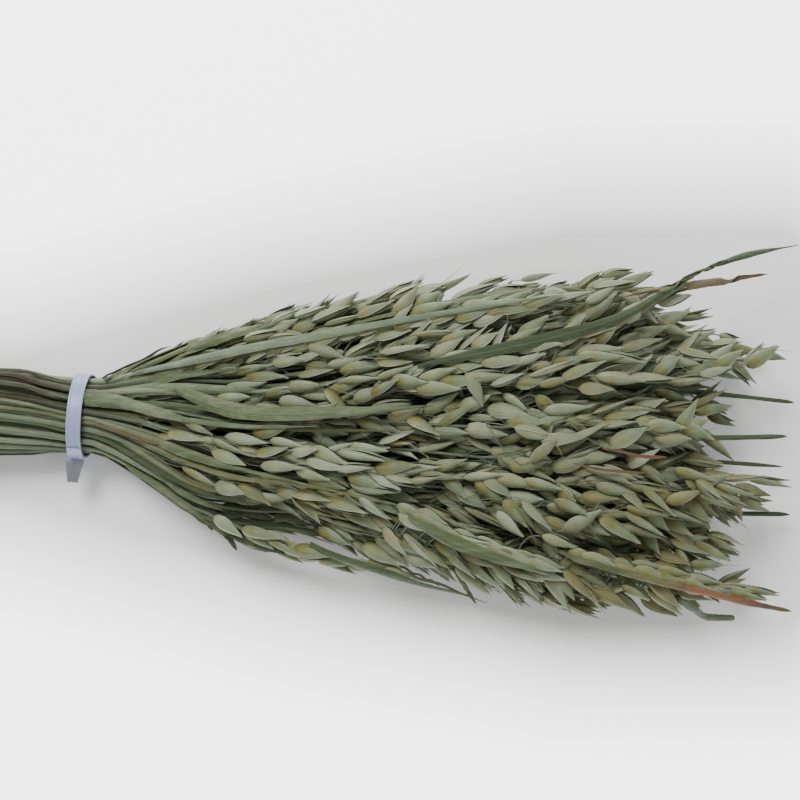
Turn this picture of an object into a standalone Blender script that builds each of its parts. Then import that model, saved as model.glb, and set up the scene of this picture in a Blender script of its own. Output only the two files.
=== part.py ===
"""A sheaf of dried green oats lying on its side, held by a flat plastic band.

The stalks run along X, with their cut ends at -X and the heads at +X.
The origin is the middle of the band's flat underside, and Z points up.
"""
import math
import random

import bmesh
import bpy
from mathutils import Matrix, Vector

SHEAF = "dried_oat_bundle"
SEED = 17

# Stalks: one solid each, a hollow-looking culm with its head grown on it
STALK_COUNT = 38
STEM_SIDES = 5
STEM_RADIUS = 0.0018
NECK_RADIUS = 0.0012
RACHIS_RADIUS = 0.0009
CUT_END_X = -0.200
STEM_STATIONS = (-0.008, 0.008, 0.045, 0.095, 0.160)
STATION_CLEARANCE = 0.018
GOLDEN_ANGLE = math.pi * (3.0 - math.sqrt(5.0))
LENGTH_STEP = 0.7548776662
LENGTH_START = 0.10
EDGE_RING = 0.80

# The length of each stalk from the middle of the sheaf outwards: short, mid or long
STALK_KINDS = "MLLMML" "MMMLLM" "MLMLMLL" "LSLLSM" "LSSMSL" "LSMMLMM"
SHORT_TIP_X = 0.160
SHORT_SPREAD = 0.050
MID_STEP_BACK = 0.060
MID_SPREAD = 0.080
LONG_SPREAD = 0.024
HEAD_LENGTH = {"S": 0.130, "M": 0.160, "L": 0.185}
HEAD_NODES = {"S": 4, "M": 5, "L": 5}

# The sheaf's section at each station along X: half width, half height, lift, middle
HALF_WIDTH = (
    (-0.200, 0.0245), (-0.008, 0.0206), (0.008, 0.0206), (0.025, 0.0265),
    (0.047, 0.0375), (0.078, 0.0510), (0.108, 0.0608), (0.150, 0.0712),
    (0.190, 0.0780), (0.245, 0.0862), (0.300, 0.0915), (0.400, 0.0905),
)
HALF_HEIGHT = (
    (-0.200, 0.0195), (-0.008, 0.0170), (0.008, 0.0170), (0.060, 0.0250),
    (0.150, 0.0360), (0.250, 0.0430), (0.320, 0.0410), (0.400, 0.0370),
)
LIFT = ((-0.200, 0.0021), (-0.008, 0.0031), (0.008, 0.0031), (0.090, 0.0021), (0.330, 0.0008))
MIDDLE_Y = (
    (-0.200, 0.0), (0.0, 0.0), (0.110, -0.0107), (0.220, -0.0107), (0.300, -0.0125),
    (0.400, -0.0145),
)
UNDERSIDE_POWER = ((-0.200, 2.6), (-0.008, 3.2), (0.008, 3.2), (0.130, 6.0))
GROUND_SOFTNESS = 0.0003

# The stalks spiral a little, as they do in a sheaf gathered by hand
TWIST_BEHIND = math.radians(45.0)
TWIST_BEHIND_REACH = 0.070
TWIST_AHEAD = math.radians(20.0)
TWIST_AHEAD_REACH = 0.060

# How far the heads reach at each Y
REACH = (
    (-0.108, 0.342), (-0.099, 0.366), (-0.082, 0.362), (-0.073, 0.371),
    (-0.060, 0.362), (-0.047, 0.384), (-0.034, 0.384), (-0.022, 0.356),
    (0.000, 0.359), (0.019, 0.369), (0.034, 0.393), (0.044, 0.361),
    (0.059, 0.352), (0.075, 0.316), (0.085, 0.306),
)
REACH_READ_X = 0.360

# Spikelets, in metres along X and in parts of the section across it
SPIKELET_LENGTH = 0.029
SPIKELET_FOOT = 0.004
SPIKELET_BELLY = 0.42
SPIKELET_OUT = 0.068
SPIKELET_TIP_OUT = 0.080
SPIKELET_DEPTH = 0.034
SPIKELET_WIDTH = 0.062
SPIKELET_INNER_WIDTH = 0.036
SPIKELET_ANGLE_SPREAD = math.radians(24.0)
OUTWARD_GAIN = 0.55
TOP_SPIKELET_LENGTH = 0.025
TOP_SPIKELET_RADIUS = 0.0027

# The band: a flat loop 8 mm wide, with its cut end standing out at -Y
BAND_WIDTH = 0.008
BAND_THICKNESS = 0.0010
BAND_GAP = 0.0003
BAND_TURN = math.radians(-4.6)
BAND_POINTS = 32
BAND_FLAT_HALF = 0.010
BAND_TAIL_LENGTH = 0.0150
BAND_TAIL_RISE = -0.0035
BAND_TAIL_Z = 0.0225
BAND_TAIL_END_WIDTH = 0.0056

# Leaves: blades with a rounded fold, thinner than a millimetre
LEAF_THICKNESS = 0.0007
LEAF_TIP_SHARE = 0.12
LEAF_BASE_SHARE = 0.60
LEAF_STEPS = 6
LYING_UPWARD = 0.8

# Leaves that lie on the sheaf: name, width, rest and points (X, Y) seen from above.
# The rest is the leaf's place over the stalks, as a part of the section
LYING_LEAVES = (
    ("leaf_pale_long", 0.0056, 1.18,
     ((0.025, 0.0235), (0.057, 0.0285), (0.097, 0.0365), (0.136, 0.043), (0.181, 0.051),
      (0.238, 0.060), (0.257, 0.063))),
    ("leaf_twisted_top", 0.0085, 1.18,
     ((0.188, 0.027), (0.249, 0.039), (0.293, 0.052), (0.325, 0.070), (0.361, 0.086), (0.398, 0.094))),
    ("leaf_wide_middle", 0.0100, 1.18,
     ((0.050, 0.018), (0.093, 0.003), (0.152, 0.003), (0.196, 0.006))),
    ("leaf_green_lower", 0.0080, 1.18,
     ((0.183, -0.053), (0.205, -0.064), (0.234, -0.075), (0.256, -0.082))),
    ("leaf_orange_tip", 0.0055, 1.18,
     ((0.262, -0.071), (0.312, -0.086), (0.343, -0.094), (0.369, -0.100), (0.393, -0.105))),
    ("leaf_dark_edge", 0.0045, 1.18,
     ((0.130, -0.071), (0.166, -0.083), (0.191, -0.091), (0.212, -0.096), (0.226, -0.102))),
    ("leaf_brown_top", 0.0080, 1.08,
     ((0.326, 0.068), (0.342, 0.0715), (0.358, 0.0735), (0.381, 0.077))),
    ("leaf_near_band", 0.0110, 1.23,
     ((0.0080, 0.0090), (0.027, 0.0075), (0.050, 0.0020), (0.074, -0.005))),
    ("leaf_olive_lower", 0.0060, 1.18,
     ((0.025, -0.0270), (0.042, -0.0370), (0.056, -0.0455), (0.067, -0.0530), (0.075, -0.0600))),
    ("leaf_bent_corner", 0.0055, 1.11,
     ((0.326, -0.0970), (0.336, -0.1035), (0.345, -0.1090), (0.363, -0.1103))),
    ("leaf_hump_upper", 0.0080, 1.18,
     ((0.060, 0.033), (0.074, 0.041), (0.092, 0.046), (0.104, 0.048), (0.116, 0.052))),
)

# Leaves on the sides: name, width, rest, and (X, degrees round the section from +Y to the top)
SIDE_LEAVES = (
    ("leaf_side_a", 0.0085, 1.13, ((0.016, -14.0), (0.055, -18.0), (0.100, -20.0), (0.150, -16.0))),
    ("leaf_side_b", 0.0070, 1.13, ((0.016, 196.0), (0.060, 200.0), (0.105, 196.0), (0.165, 190.0))),
    ("leaf_back_c", 0.0060, 1.11, ((0.150, 26.0), (0.200, 20.0), (0.250, 16.0), (0.300, 16.0))),
)

# Leaf tips that come out past the heads: name, the shorter stalk whose place each goes
# on from, width, end X and how far it drifts across that place
END_LEAVES = (
    ("leaf_end_a", 8, 0.0035, 0.393, -0.13),
    ("leaf_end_b", 11, 0.0030, 0.386, 0.07),
    ("leaf_end_c", 7, 0.0030, 0.395, -0.10),
    ("leaf_end_d", 12, 0.0045, 0.399, 0.00),
)
END_LEAF_START = 0.012

STALK_COLOUR = (0.230, 0.275, 0.170)
LEAF_COLOUR = (0.165, 0.215, 0.130)
BAND_COLOUR = (0.700, 0.720, 0.800)


def curve_value(table, x):
    """Read a smooth curve through the table's points, without overshoot."""
    if x <= table[0][0]:
        return table[0][1]
    if x >= table[-1][0]:
        return table[-1][1]
    last = len(table) - 1
    slopes = []
    for first, second in zip(table, table[1:]):
        slopes.append((second[1] - first[1]) / (second[0] - first[0]))
    tangents = [slopes[0]]
    for before, after in zip(slopes, slopes[1:]):
        same_way = before * after > 0.0
        tangents.append(2.0 * before * after / (before + after) if same_way else 0.0)
    tangents.append(slopes[-1])
    piece = max(index for index in range(last) if table[index][0] <= x)
    span = table[piece + 1][0] - table[piece][0]
    t = (x - table[piece][0]) / span
    start = (1.0 + 2.0 * t) * (1.0 - t) ** 2 * table[piece][1]
    leave = t * (1.0 - t) ** 2 * span * tangents[piece]
    end = t * t * (3.0 - 2.0 * t) * table[piece + 1][1]
    arrive = t * t * (t - 1.0) * span * tangents[piece + 1]
    return start + leave + end + arrive


def section_point(x, u, v):
    """Place (u, v) of the section's unit disc at x; the underside is flattened."""
    radius = math.hypot(u, v)
    stretch = 1.0
    if v < 0.0:
        power = curve_value(UNDERSIDE_POWER, x)
        rounded = (abs(u) / radius) ** power + (abs(v) / radius) ** power
        stretch = rounded ** (-1.0 / power)
    y = curve_value(MIDDLE_Y, x) + u * stretch * curve_value(HALF_WIDTH, x)
    height = curve_value(HALF_HEIGHT, x) * (1.0 + v * stretch)
    return Vector((x, y, above_ground(height + curve_value(LIFT, x))))


def above_ground(z):
    """Press what would be under the ground flat on it, with no fold."""
    return GROUND_SOFTNESS * math.log1p(math.exp(z / GROUND_SOFTNESS)) if z < 0.02 else z


def twist(x):
    """How far the sheaf has turned about X at x."""
    if x < 0.0:
        return -TWIST_BEHIND * (1.0 - math.exp(x / TWIST_BEHIND_REACH))
    return TWIST_AHEAD * (1.0 - math.exp(-x / TWIST_AHEAD_REACH))


def stalk_point(x, u, v):
    """The section point of a stalk's own place (u, v), turned with the sheaf."""
    turn = Matrix.Rotation(twist(x), 2)
    place = turn @ Vector((u, v))
    return section_point(x, place.x, place.y)


def stalk_plan():
    """Give each stalk its place in the section, its kind and its tip."""
    plan = []
    for index in range(STALK_COUNT):
        radius = math.sqrt((index + 0.5) / STALK_COUNT)
        angle = index * GOLDEN_ANGLE
        u = radius * math.cos(angle)
        v = radius * math.sin(angle)
        share = (LENGTH_START + index * LENGTH_STEP) % 1.0
        reach = curve_value(REACH, stalk_point(REACH_READ_X, u, v).y)
        kind = STALK_KINDS[index]
        if kind == "S":
            tip_x = SHORT_TIP_X + SHORT_SPREAD * share
        elif kind == "M":
            tip_x = reach - MID_STEP_BACK - MID_SPREAD * share
        else:
            tip_x = reach - LONG_SPREAD * share
        plan.append({"u": u, "v": v, "kind": kind, "tip_x": tip_x})
    return plan


def add_material(name, colour, roughness):
    """One plain surface of its own for each sub-part."""
    material = bpy.data.materials.new(name)
    material.use_nodes = True
    shader = material.node_tree.nodes["Principled BSDF"]
    shader.inputs["Base Color"].default_value = (*colour, 1.0)
    shader.inputs["Roughness"].default_value = roughness
    shader.inputs["Metallic"].default_value = 0.0
    material.diffuse_color = (*colour, 1.0)
    return material


def add_object(name, mesh, collection, colour, roughness):
    """Put a mesh in the sheaf's collection under its own name and material."""
    mesh.materials.clear()
    mesh.materials.append(add_material(name, colour, roughness))
    piece = bpy.data.objects.new(name, mesh)
    collection.objects.link(piece)
    return piece


def start_stem(bm, cut_end, next_centre, spin):
    """Lay the first length of culm from its cut end, and return its front face."""
    made = bmesh.ops.create_cone(
        bm, cap_ends=True, segments=STEM_SIDES, radius1=STEM_RADIUS, radius2=STEM_RADIUS, depth=1.0)
    turn = Matrix.Rotation(spin, 3, "X") @ Matrix.Rotation(math.radians(90.0), 3, "Y")
    for vert in made["verts"]:
        centre = next_centre if vert.co.z > 0.0 else cut_end
        vert.co.z = 0.0
        vert.co = turn @ vert.co + centre
    return max(bm.faces, key=lambda face: face.calc_center_median().x)


def extrude_ring(bm, cap, centre, new_centre, scale):
    """Extrude the open end's face to a new centre and return the new end face."""
    result = bmesh.ops.extrude_discrete_faces(bm, faces=[cap])
    new_cap = result["faces"][0]
    for vert in new_cap.verts:
        vert.co = new_centre + (vert.co - centre) * scale
        vert.co.z = above_ground(vert.co.z)
    return new_cap


def nearest_side(faces, centre, angle):
    """The side face that looks most nearly in the wanted direction."""
    wanted = Vector((0.0, math.cos(angle), math.sin(angle)))
    return max(faces, key=lambda face: (face.calc_center_median() - centre).normalized().dot(wanted))


def grow_spikelet(bm, face, place, node_x, angle, length, gain):
    """Draw one side face out into a belly, then into a pointed tip."""
    u, v = place
    radial = Vector((math.cos(angle), math.sin(angle)))
    across = Vector((-radial.y, radial.x))
    belly_x = node_x + SPIKELET_BELLY * length
    tip_x = node_x + length
    middle = face.calc_center_median()
    belly = bmesh.ops.extrude_discrete_faces(bm, faces=[face])["faces"][0]
    for vert in belly.verts:
        behind = vert.co.x < middle.x
        offset = vert.co - middle
        side = 1.0 if offset.y * across.x + offset.z * across.y > 0.0 else -1.0
        depth = SPIKELET_DEPTH if behind else -SPIKELET_DEPTH
        width = SPIKELET_WIDTH if behind else SPIKELET_INNER_WIDTH
        out = gain * (SPIKELET_OUT + depth)
        spot = Vector((u, v)) + radial * out + across * (side * width)
        vert.co = stalk_point(belly_x, spot.x, spot.y)
    tip = bmesh.ops.poke(bm, faces=[belly])["verts"][0]
    end = Vector((u, v)) + radial * (gain * SPIKELET_TIP_OUT)
    tip.co = stalk_point(tip_x, end.x, end.y)


def stalk_mesh(name, stalk, rng):
    """A culm from its cut end to its neck, then the rachis with its spikelets."""
    u, v = stalk["u"], stalk["v"]
    tip_x = stalk["tip_x"]
    head_x = tip_x - HEAD_LENGTH[stalk["kind"]]
    nodes = HEAD_NODES[stalk["kind"]]
    stations = [x for x in STEM_STATIONS if x < head_x - STATION_CLEARANCE]
    stations.append(head_x)

    bm = bmesh.new()
    centre = stalk_point(stations[0], u, v)
    radius = STEM_RADIUS
    cap = start_stem(bm, stalk_point(CUT_END_X, u, v), centre, rng.uniform(0.0, math.tau))
    for x in stations[1:]:
        new_radius = NECK_RADIUS if x == head_x else STEM_RADIUS
        new_centre = stalk_point(x, u, v)
        cap = extrude_ring(bm, cap, centre, new_centre, new_radius / radius)
        centre, radius = new_centre, new_radius

    outward = math.atan2(v, u)
    on_edge = math.hypot(u, v) > EDGE_RING
    pitch = (tip_x - TOP_SPIKELET_LENGTH * 0.8 - head_x) / nodes
    for node in range(nodes):
        node_x = head_x + pitch * node
        new_centre = stalk_point(node_x + SPIKELET_FOOT, u, v)
        before = set(bm.faces)
        cap = extrude_ring(bm, cap, centre, new_centre, RACHIS_RADIUS / radius)
        sides = [face for face in bm.faces if face not in before and face is not cap]
        middle = (centre + new_centre) / 2.0
        centre, radius = new_centre, RACHIS_RADIUS
        lean = rng.uniform(-SPIKELET_ANGLE_SPREAD, SPIKELET_ANGLE_SPREAD)
        for base_angle in (0.0, math.pi):
            angle = base_angle + lean
            length = SPIKELET_LENGTH * rng.uniform(0.90, 1.10)
            facing = math.cos(angle - outward)
            gain = 1.0 + OUTWARD_GAIN * max(0.0, facing) if on_edge else 1.0
            turned = angle + twist(node_x)
            face = nearest_side(sides, middle, turned)
            sides.remove(face)
            grow_spikelet(bm, face, (u, v), node_x, angle, length, gain)
        next_x = node_x + pitch
        new_centre = stalk_point(next_x, u, v)
        cap = extrude_ring(bm, cap, centre, new_centre, 1.0)
        centre = new_centre

    belly_x = tip_x - TOP_SPIKELET_LENGTH * 0.55
    new_centre = stalk_point(belly_x, u, v)
    cap = extrude_ring(bm, cap, centre, new_centre, TOP_SPIKELET_RADIUS / radius)
    point = bmesh.ops.poke(bm, faces=[cap])["verts"][0]
    point.co = stalk_point(tip_x, u, v)

    mesh = bpy.data.meshes.new(name)
    bm.to_mesh(mesh)
    bm.free()
    mesh.shade_smooth()
    return mesh


def add_stalks(collection, plan):
    """Every stalk with its head, from the middle of the sheaf outwards."""
    for index, stalk in enumerate(plan):
        name = f"oat_stalk_{index + 1:02d}"
        rng = random.Random(SEED + index)
        add_object(name, stalk_mesh(name, stalk, rng), collection, STALK_COLOUR, 0.80)


def route_point(points, share):
    """Walk a smooth line through hand-set points, share 0 to 1 along it."""
    last = len(points) - 1
    position = min(share * last, last - 1e-6)
    piece = int(position)
    t = position - piece
    p1, p2 = points[piece], points[piece + 1]
    p0 = points[piece - 1] if piece > 0 else p1 + (p1 - p2)
    p3 = points[piece + 2] if piece + 2 <= last else p2 + (p2 - p1)
    bend = 2.0 * p0 - 5.0 * p1 + 4.0 * p2 - p3
    swing = 3.0 * p1 - p0 - 3.0 * p2 + p3
    return 0.5 * (2.0 * p1 + (p2 - p0) * t + bend * t * t + swing * t ** 3)


def leaf_width(share, width):
    """A blade widens from its base and runs out to a narrow tip."""
    grown = LEAF_BASE_SHARE + (1.0 - LEAF_BASE_SHARE) * min(1.0, share / 0.3)
    taper = LEAF_TIP_SHARE + (1.0 - LEAF_TIP_SHARE) * (1.0 - share ** 2.2)
    return width * grown * taper


def add_leaf(collection, name, width, point_at, normal_at):
    """A blade along point_at(share), flat to normal_at(share), as a thin closed solid."""
    bm = bmesh.new()
    bmesh.ops.create_grid(bm, x_segments=LEAF_STEPS, y_segments=1, size=0.5)
    for vert in bm.verts:
        share = min(1.0, max(0.0, vert.co.x + 0.5))
        side = 1.0 if vert.co.y > 0.0 else -1.0
        here = point_at(share)
        ahead = point_at(min(1.0, share + 0.01))
        behind = point_at(max(0.0, share - 0.01))
        along = (ahead - behind).normalized()
        across = normal_at(share).cross(along).normalized()
        vert.co = here + across * (side * leaf_width(share, width) / 2.0)
    mesh = bpy.data.meshes.new(name)
    bm.to_mesh(mesh)
    bm.free()
    piece = add_object(name, mesh, collection, LEAF_COLOUR, 0.70)
    blade = piece.modifiers.new("blade", "SOLIDIFY")
    blade.thickness = LEAF_THICKNESS
    blade.offset = 0.0


def lying_point(point, rest):
    """Lay a point seen from above on the sheaf's upper surface."""
    x, y = point
    u = (y - curve_value(MIDDLE_Y, x)) / curve_value(HALF_WIDTH, x)
    u = max(-rest, min(rest, u))
    spot = section_point(x, u, math.sqrt(rest ** 2 - u * u))
    spot.y = y
    return spot


def outward_normal(point):
    """The direction away from the sheaf's long middle line."""
    middle_y = curve_value(MIDDLE_Y, point.x)
    half_height = curve_value(HALF_HEIGHT, point.x)
    half_width = curve_value(HALF_WIDTH, point.x)
    middle_z = half_height + curve_value(LIFT, point.x)
    y = (point.y - middle_y) / half_width ** 2
    z = (point.z - middle_z) / half_height ** 2
    return Vector((0.0, y, z)).normalized()


def add_surface_leaf(collection, name, width, points, upward=0.0):
    """A blade along points on the outside of the sheaf, its face turned upward by a share."""
    def point_at(share):
        return route_point(points, share)

    def normal_at(share):
        return (outward_normal(route_point(points, share)) + Vector((0.0, 0.0, upward))).normalized()

    add_leaf(collection, name, width, point_at, normal_at)


def add_lying_leaves(collection):
    """The blades that lie on top of the heads and stems."""
    for name, width, rest, places in LYING_LEAVES:
        points = [lying_point(place, rest) for place in places]
        add_surface_leaf(collection, name, width, points, LYING_UPWARD)


def add_side_leaves(collection):
    """The blades on the two flanks."""
    for name, width, rest, places in SIDE_LEAVES:
        points = []
        for x, degrees in places:
            angle = math.radians(degrees)
            points.append(section_point(x, rest * math.cos(angle), rest * math.sin(angle)))
        add_surface_leaf(collection, name, width, points)


def add_end_leaves(collection, plan):
    """The blade tips that stick out past the heads, each in a shorter stalk's place."""
    for name, stalk_index, width, end_x, drift in END_LEAVES:
        stalk = plan[stalk_index]
        start_x = stalk["tip_x"] + END_LEAF_START

        def point_at(share, stalk=stalk, start_x=start_x, end_x=end_x, drift=drift):
            x = start_x + (end_x - start_x) * share
            return stalk_point(x, stalk["u"] + drift * share, stalk["v"])

        def normal_at(share):
            return Vector((0.0, 0.0, 1.0))

        add_leaf(collection, name, width, point_at, normal_at)


def band_outline(offset):
    """The band's loop in section: the tied stems' outline moved out by offset."""
    half_width = curve_value(HALF_WIDTH, 0.0) + offset
    half_height = curve_value(HALF_HEIGHT, 0.0) + offset
    middle_z = curve_value(HALF_HEIGHT, 0.0) + curve_value(LIFT, 0.0)
    bottom = middle_z - half_height
    points = []
    for index in range(BAND_POINTS):
        angle = math.tau * (index + 0.5) / BAND_POINTS
        u, v = math.cos(angle), math.sin(angle)
        stretch = 1.0
        if v < 0.0:
            power = curve_value(UNDERSIDE_POWER, 0.0)
            stretch = (abs(u) ** power + abs(v) ** power) ** (-1.0 / power)
        y = u * stretch * half_width
        z = middle_z + v * stretch * half_height
        if v > 0.0 or abs(y) > BAND_FLAT_HALF * 1.1:
            points.append((y, z))
    first_right = next(index for index, (y, z) in enumerate(points) if z < middle_z and y > 0.0)
    flat = [(-BAND_FLAT_HALF, bottom), (BAND_FLAT_HALF, bottom)]
    return points[:first_right] + flat + points[first_right:]


def add_outline(curve, points):
    """Add one closed outline to a flat curve."""
    spline = curve.splines.new("POLY")
    spline.points.add(len(points) - 1)
    for spot, (y, z) in zip(spline.points, points):
        spot.co = (y, z, 0.0, 1.0)
    spline.use_cyclic_u = True


def add_band(collection, cutters):
    """The plastic band: an outline extruded to its width, its tail cut to a taper."""
    inner = STEM_RADIUS + BAND_GAP
    outline = bpy.data.curves.new("tie_band_outline", "CURVE")
    outline.dimensions = "2D"
    outline.fill_mode = "BOTH"
    outline.extrude = BAND_WIDTH / 2.0
    add_outline(outline, band_outline(inner))
    add_outline(outline, band_with_tail(band_outline(inner + BAND_THICKNESS)))
    band = bpy.data.objects.new("tie_band_flat", outline)
    collection.objects.link(band)
    upright = Matrix((
        (0.0, 0.0, 1.0, 0.0),
        (1.0, 0.0, 0.0, 0.0),
        (0.0, 1.0, 0.0, 0.0),
        (0.0, 0.0, 0.0, 1.0),
    ))
    band.matrix_world = Matrix.Rotation(BAND_TURN, 4, "Z") @ upright
    bpy.context.view_layer.update()

    depsgraph = bpy.context.evaluated_depsgraph_get()
    mesh = bpy.data.meshes.new_from_object(band.evaluated_get(depsgraph))
    bm = bmesh.new()
    bm.from_mesh(mesh)
    bmesh.ops.remove_doubles(bm, verts=bm.verts[:], dist=1e-6)
    bm.to_mesh(mesh)
    bm.free()
    mesh.name = "tie_band"
    solid = add_object("tie_band", mesh, collection, BAND_COLOUR, 0.35)
    solid.matrix_world = band.matrix_world.copy()
    bpy.data.objects.remove(band)
    bpy.context.view_layer.update()
    taper_tail(solid, cutters)


def band_with_tail(points):
    """Lead the outer outline out and back round the band's free end at -Y."""
    tail_index = min(
        (index for index, (y, z) in enumerate(points) if y < 0.0 and z > BAND_TAIL_Z - 0.002),
        key=lambda index: points[index][1])
    root_y, root_z = points[tail_index]
    next_y, next_z = points[tail_index + 1]
    end_y = root_y - BAND_TAIL_LENGTH
    end_z = root_z + BAND_TAIL_RISE
    tail = [
        (root_y, root_z),
        (root_y - BAND_TAIL_LENGTH * 0.4, root_z + BAND_TAIL_RISE * 0.1),
        (end_y, end_z),
        (end_y, end_z - BAND_THICKNESS),
        (root_y - BAND_TAIL_LENGTH * 0.4, root_z + BAND_TAIL_RISE * 0.1 - BAND_THICKNESS),
        (next_y - BAND_THICKNESS * 0.2, root_z - BAND_THICKNESS * 1.1),
    ]
    return points[:tail_index] + tail + points[tail_index + 1:]


def taper_tail(band, cutters):
    """Cut the tail's front edge back so it narrows towards its end."""
    root_y = -(curve_value(HALF_WIDTH, 0.0) + STEM_RADIUS + BAND_GAP + BAND_THICKNESS)
    end_y = root_y - BAND_TAIL_LENGTH
    cut = BAND_WIDTH - BAND_TAIL_END_WIDTH
    front = BAND_WIDTH / 2.0
    corner_points = (
        (front + 0.001, root_y - 0.002), (front, root_y - 0.002),
        (front - cut, end_y - 0.001), (front + 0.001, end_y - 0.001),
    )
    outline = bpy.data.curves.new("tail_cutter_outline", "CURVE")
    outline.dimensions = "2D"
    outline.fill_mode = "BOTH"
    outline.extrude = 0.030
    spline = outline.splines.new("POLY")
    spline.points.add(len(corner_points) - 1)
    for spot, (x, y) in zip(spline.points, corner_points):
        spot.co = (x, y, 0.0, 1.0)
    spline.use_cyclic_u = True
    shape = bpy.data.objects.new("tail_cutter_shape", outline)
    cutters.objects.link(shape)
    bpy.context.view_layer.update()
    depsgraph = bpy.context.evaluated_depsgraph_get()
    mesh = bpy.data.meshes.new_from_object(shape.evaluated_get(depsgraph))
    bpy.data.objects.remove(shape)
    bm = bmesh.new()
    bm.from_mesh(mesh)
    bmesh.ops.remove_doubles(bm, verts=bm.verts[:], dist=1e-6)
    bm.to_mesh(mesh)
    bm.free()
    cutter = bpy.data.objects.new("tail_cutter", mesh)
    cutters.objects.link(cutter)
    cutter.matrix_world = Matrix.Translation((0.0, 0.0, 0.020))
    cutter.matrix_world = Matrix.Rotation(BAND_TURN, 4, "Z") @ cutter.matrix_world
    cutter.hide_render = True
    cutter.display_type = "WIRE"
    taper = band.modifiers.new("tail taper", "BOOLEAN")
    taper.operation = "DIFFERENCE"
    taper.solver = "EXACT"
    taper.object = cutter


def new_collection(name):
    """A fresh collection under the scene."""
    collection = bpy.data.collections.new(name)
    bpy.context.scene.collection.children.link(collection)
    return collection


def main():
    """Build the sheaf in an empty scene."""
    for old in list(bpy.data.objects):
        bpy.data.objects.remove(old, do_unlink=True)
    sheaf = new_collection(SHEAF)
    cutters = new_collection("cutters")
    plan = stalk_plan()
    add_stalks(sheaf, plan)
    add_lying_leaves(sheaf)
    add_side_leaves(sheaf)
    add_end_leaves(sheaf, plan)
    add_band(sheaf, cutters)


main()
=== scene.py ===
"""The looks of a dried oat bundle: culms, spikelets, leaves, a plastic band and a plain stage."""
import math

import bpy
import numpy as np
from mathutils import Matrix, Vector


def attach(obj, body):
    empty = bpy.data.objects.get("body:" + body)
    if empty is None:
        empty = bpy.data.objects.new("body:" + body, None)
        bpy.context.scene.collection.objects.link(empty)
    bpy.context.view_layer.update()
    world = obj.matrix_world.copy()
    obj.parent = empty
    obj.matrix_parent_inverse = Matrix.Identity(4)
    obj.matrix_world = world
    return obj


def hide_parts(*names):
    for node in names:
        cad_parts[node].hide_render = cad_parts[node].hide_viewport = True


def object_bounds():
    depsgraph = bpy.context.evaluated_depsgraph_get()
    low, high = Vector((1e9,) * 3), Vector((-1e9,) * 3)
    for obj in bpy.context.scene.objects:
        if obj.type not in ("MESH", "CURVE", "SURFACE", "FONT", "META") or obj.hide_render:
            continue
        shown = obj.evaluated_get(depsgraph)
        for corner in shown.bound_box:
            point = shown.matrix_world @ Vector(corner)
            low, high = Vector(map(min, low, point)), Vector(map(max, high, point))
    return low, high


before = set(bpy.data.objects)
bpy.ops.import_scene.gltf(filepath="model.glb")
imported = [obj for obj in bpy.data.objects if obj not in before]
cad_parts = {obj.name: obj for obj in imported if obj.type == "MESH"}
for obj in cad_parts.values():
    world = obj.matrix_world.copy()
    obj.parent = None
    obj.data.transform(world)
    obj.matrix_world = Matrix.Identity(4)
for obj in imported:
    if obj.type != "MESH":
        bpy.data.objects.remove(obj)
CAD_BOX = [list(corner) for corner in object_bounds()]
LOWEST, HIGHEST = CAD_BOX

bl_info = {
    "name": "Dried oat bundle",
    "version": (1, 0, 0),
    "blender": (4, 5, 0),
    "location": "3D View > Sidebar > Oat bundle",
    "description": "Dresses a tied bundle of dried oats and sets a plain studio round it",
    "category": "Add Mesh",
}

UP = np.array((0.0, 0.0, 1.0))
SEED = 17


def metres(table):
    """Metres, from a table in tenths of a millimetre."""
    return np.asarray(table, float) / 10000.0


# The layout of the bundle: where each stalk stands in its section, how long it and its head are,
# and how the section widens from the band to the heads, along X
GOLDEN_ANGLE = math.pi * (3.0 - math.sqrt(5.0))
LENGTH_STEP = 0.7548776662
LENGTH_START = 0.10
STALK_KINDS = "MLLMML" "MMMLLM" "MLMLMLL" "LSLLSM" "LSSMSL" "LSMMLMM"
SHORT_TIP_X, SHORT_SPREAD = 0.160, 0.050
MID_STEP_BACK, MID_SPREAD = 0.060, 0.080
LONG_SPREAD = 0.024
HEAD_LENGTH = {"S": 0.130, "M": 0.160, "L": 0.185}
HEAD_SPIKELETS = {"S": 26, "M": 33, "L": 38}
CUT_END_X = -0.200
HALF_WIDTH = metres((
    (-2000, 245), (-300, 222), (-80, 206), (80, 206), (250, 265), (470, 375), (780, 510), (1080, 608),
    (1500, 712), (1900, 780), (2450, 862), (3000, 915), (4000, 905)))
HALF_HEIGHT = metres((
    (-2000, 195), (-80, 170), (80, 170), (600, 250), (1500, 360), (2500, 430), (3200, 410), (4000, 370)))
LIFT = metres(((-2000, 21), (-80, 31), (80, 31), (900, 21), (3300, 8)))
MIDDLE_Y = metres((
    (-2000, 0), (-300, 10), (0, 0), (1100, -107), (2200, -107), (3000, -125), (4000, -145)))
UNDERSIDE_POWER = ((-0.200, 2.6), (-0.008, 3.2), (0.008, 3.2), (0.130, 6.0))
GROUND_REACH, GROUND_SOFTNESS = 0.02, 0.0003
CEILING_SOFTNESS = 0.008
TWIST_BEHIND, TWIST_BEHIND_REACH = math.radians(45.0), 0.070
TWIST_AHEAD, TWIST_AHEAD_REACH = math.radians(20.0), 0.060

# Where the heads are fuller at either side, along X
FULLER_FAR_SIDE = ((0.165, 0), (0.19, 1.2), (0.225, 1.4), (0.305, 1.3), (0.335, 0))
FULLER_NEAR_SIDE = (
    (0.215, 0), (0.24, 1), (0.275, 1), (0.29, 0), (0.30, 0), (0.31, 1.1), (0.33, 1.1), (0.345, 0))

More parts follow.
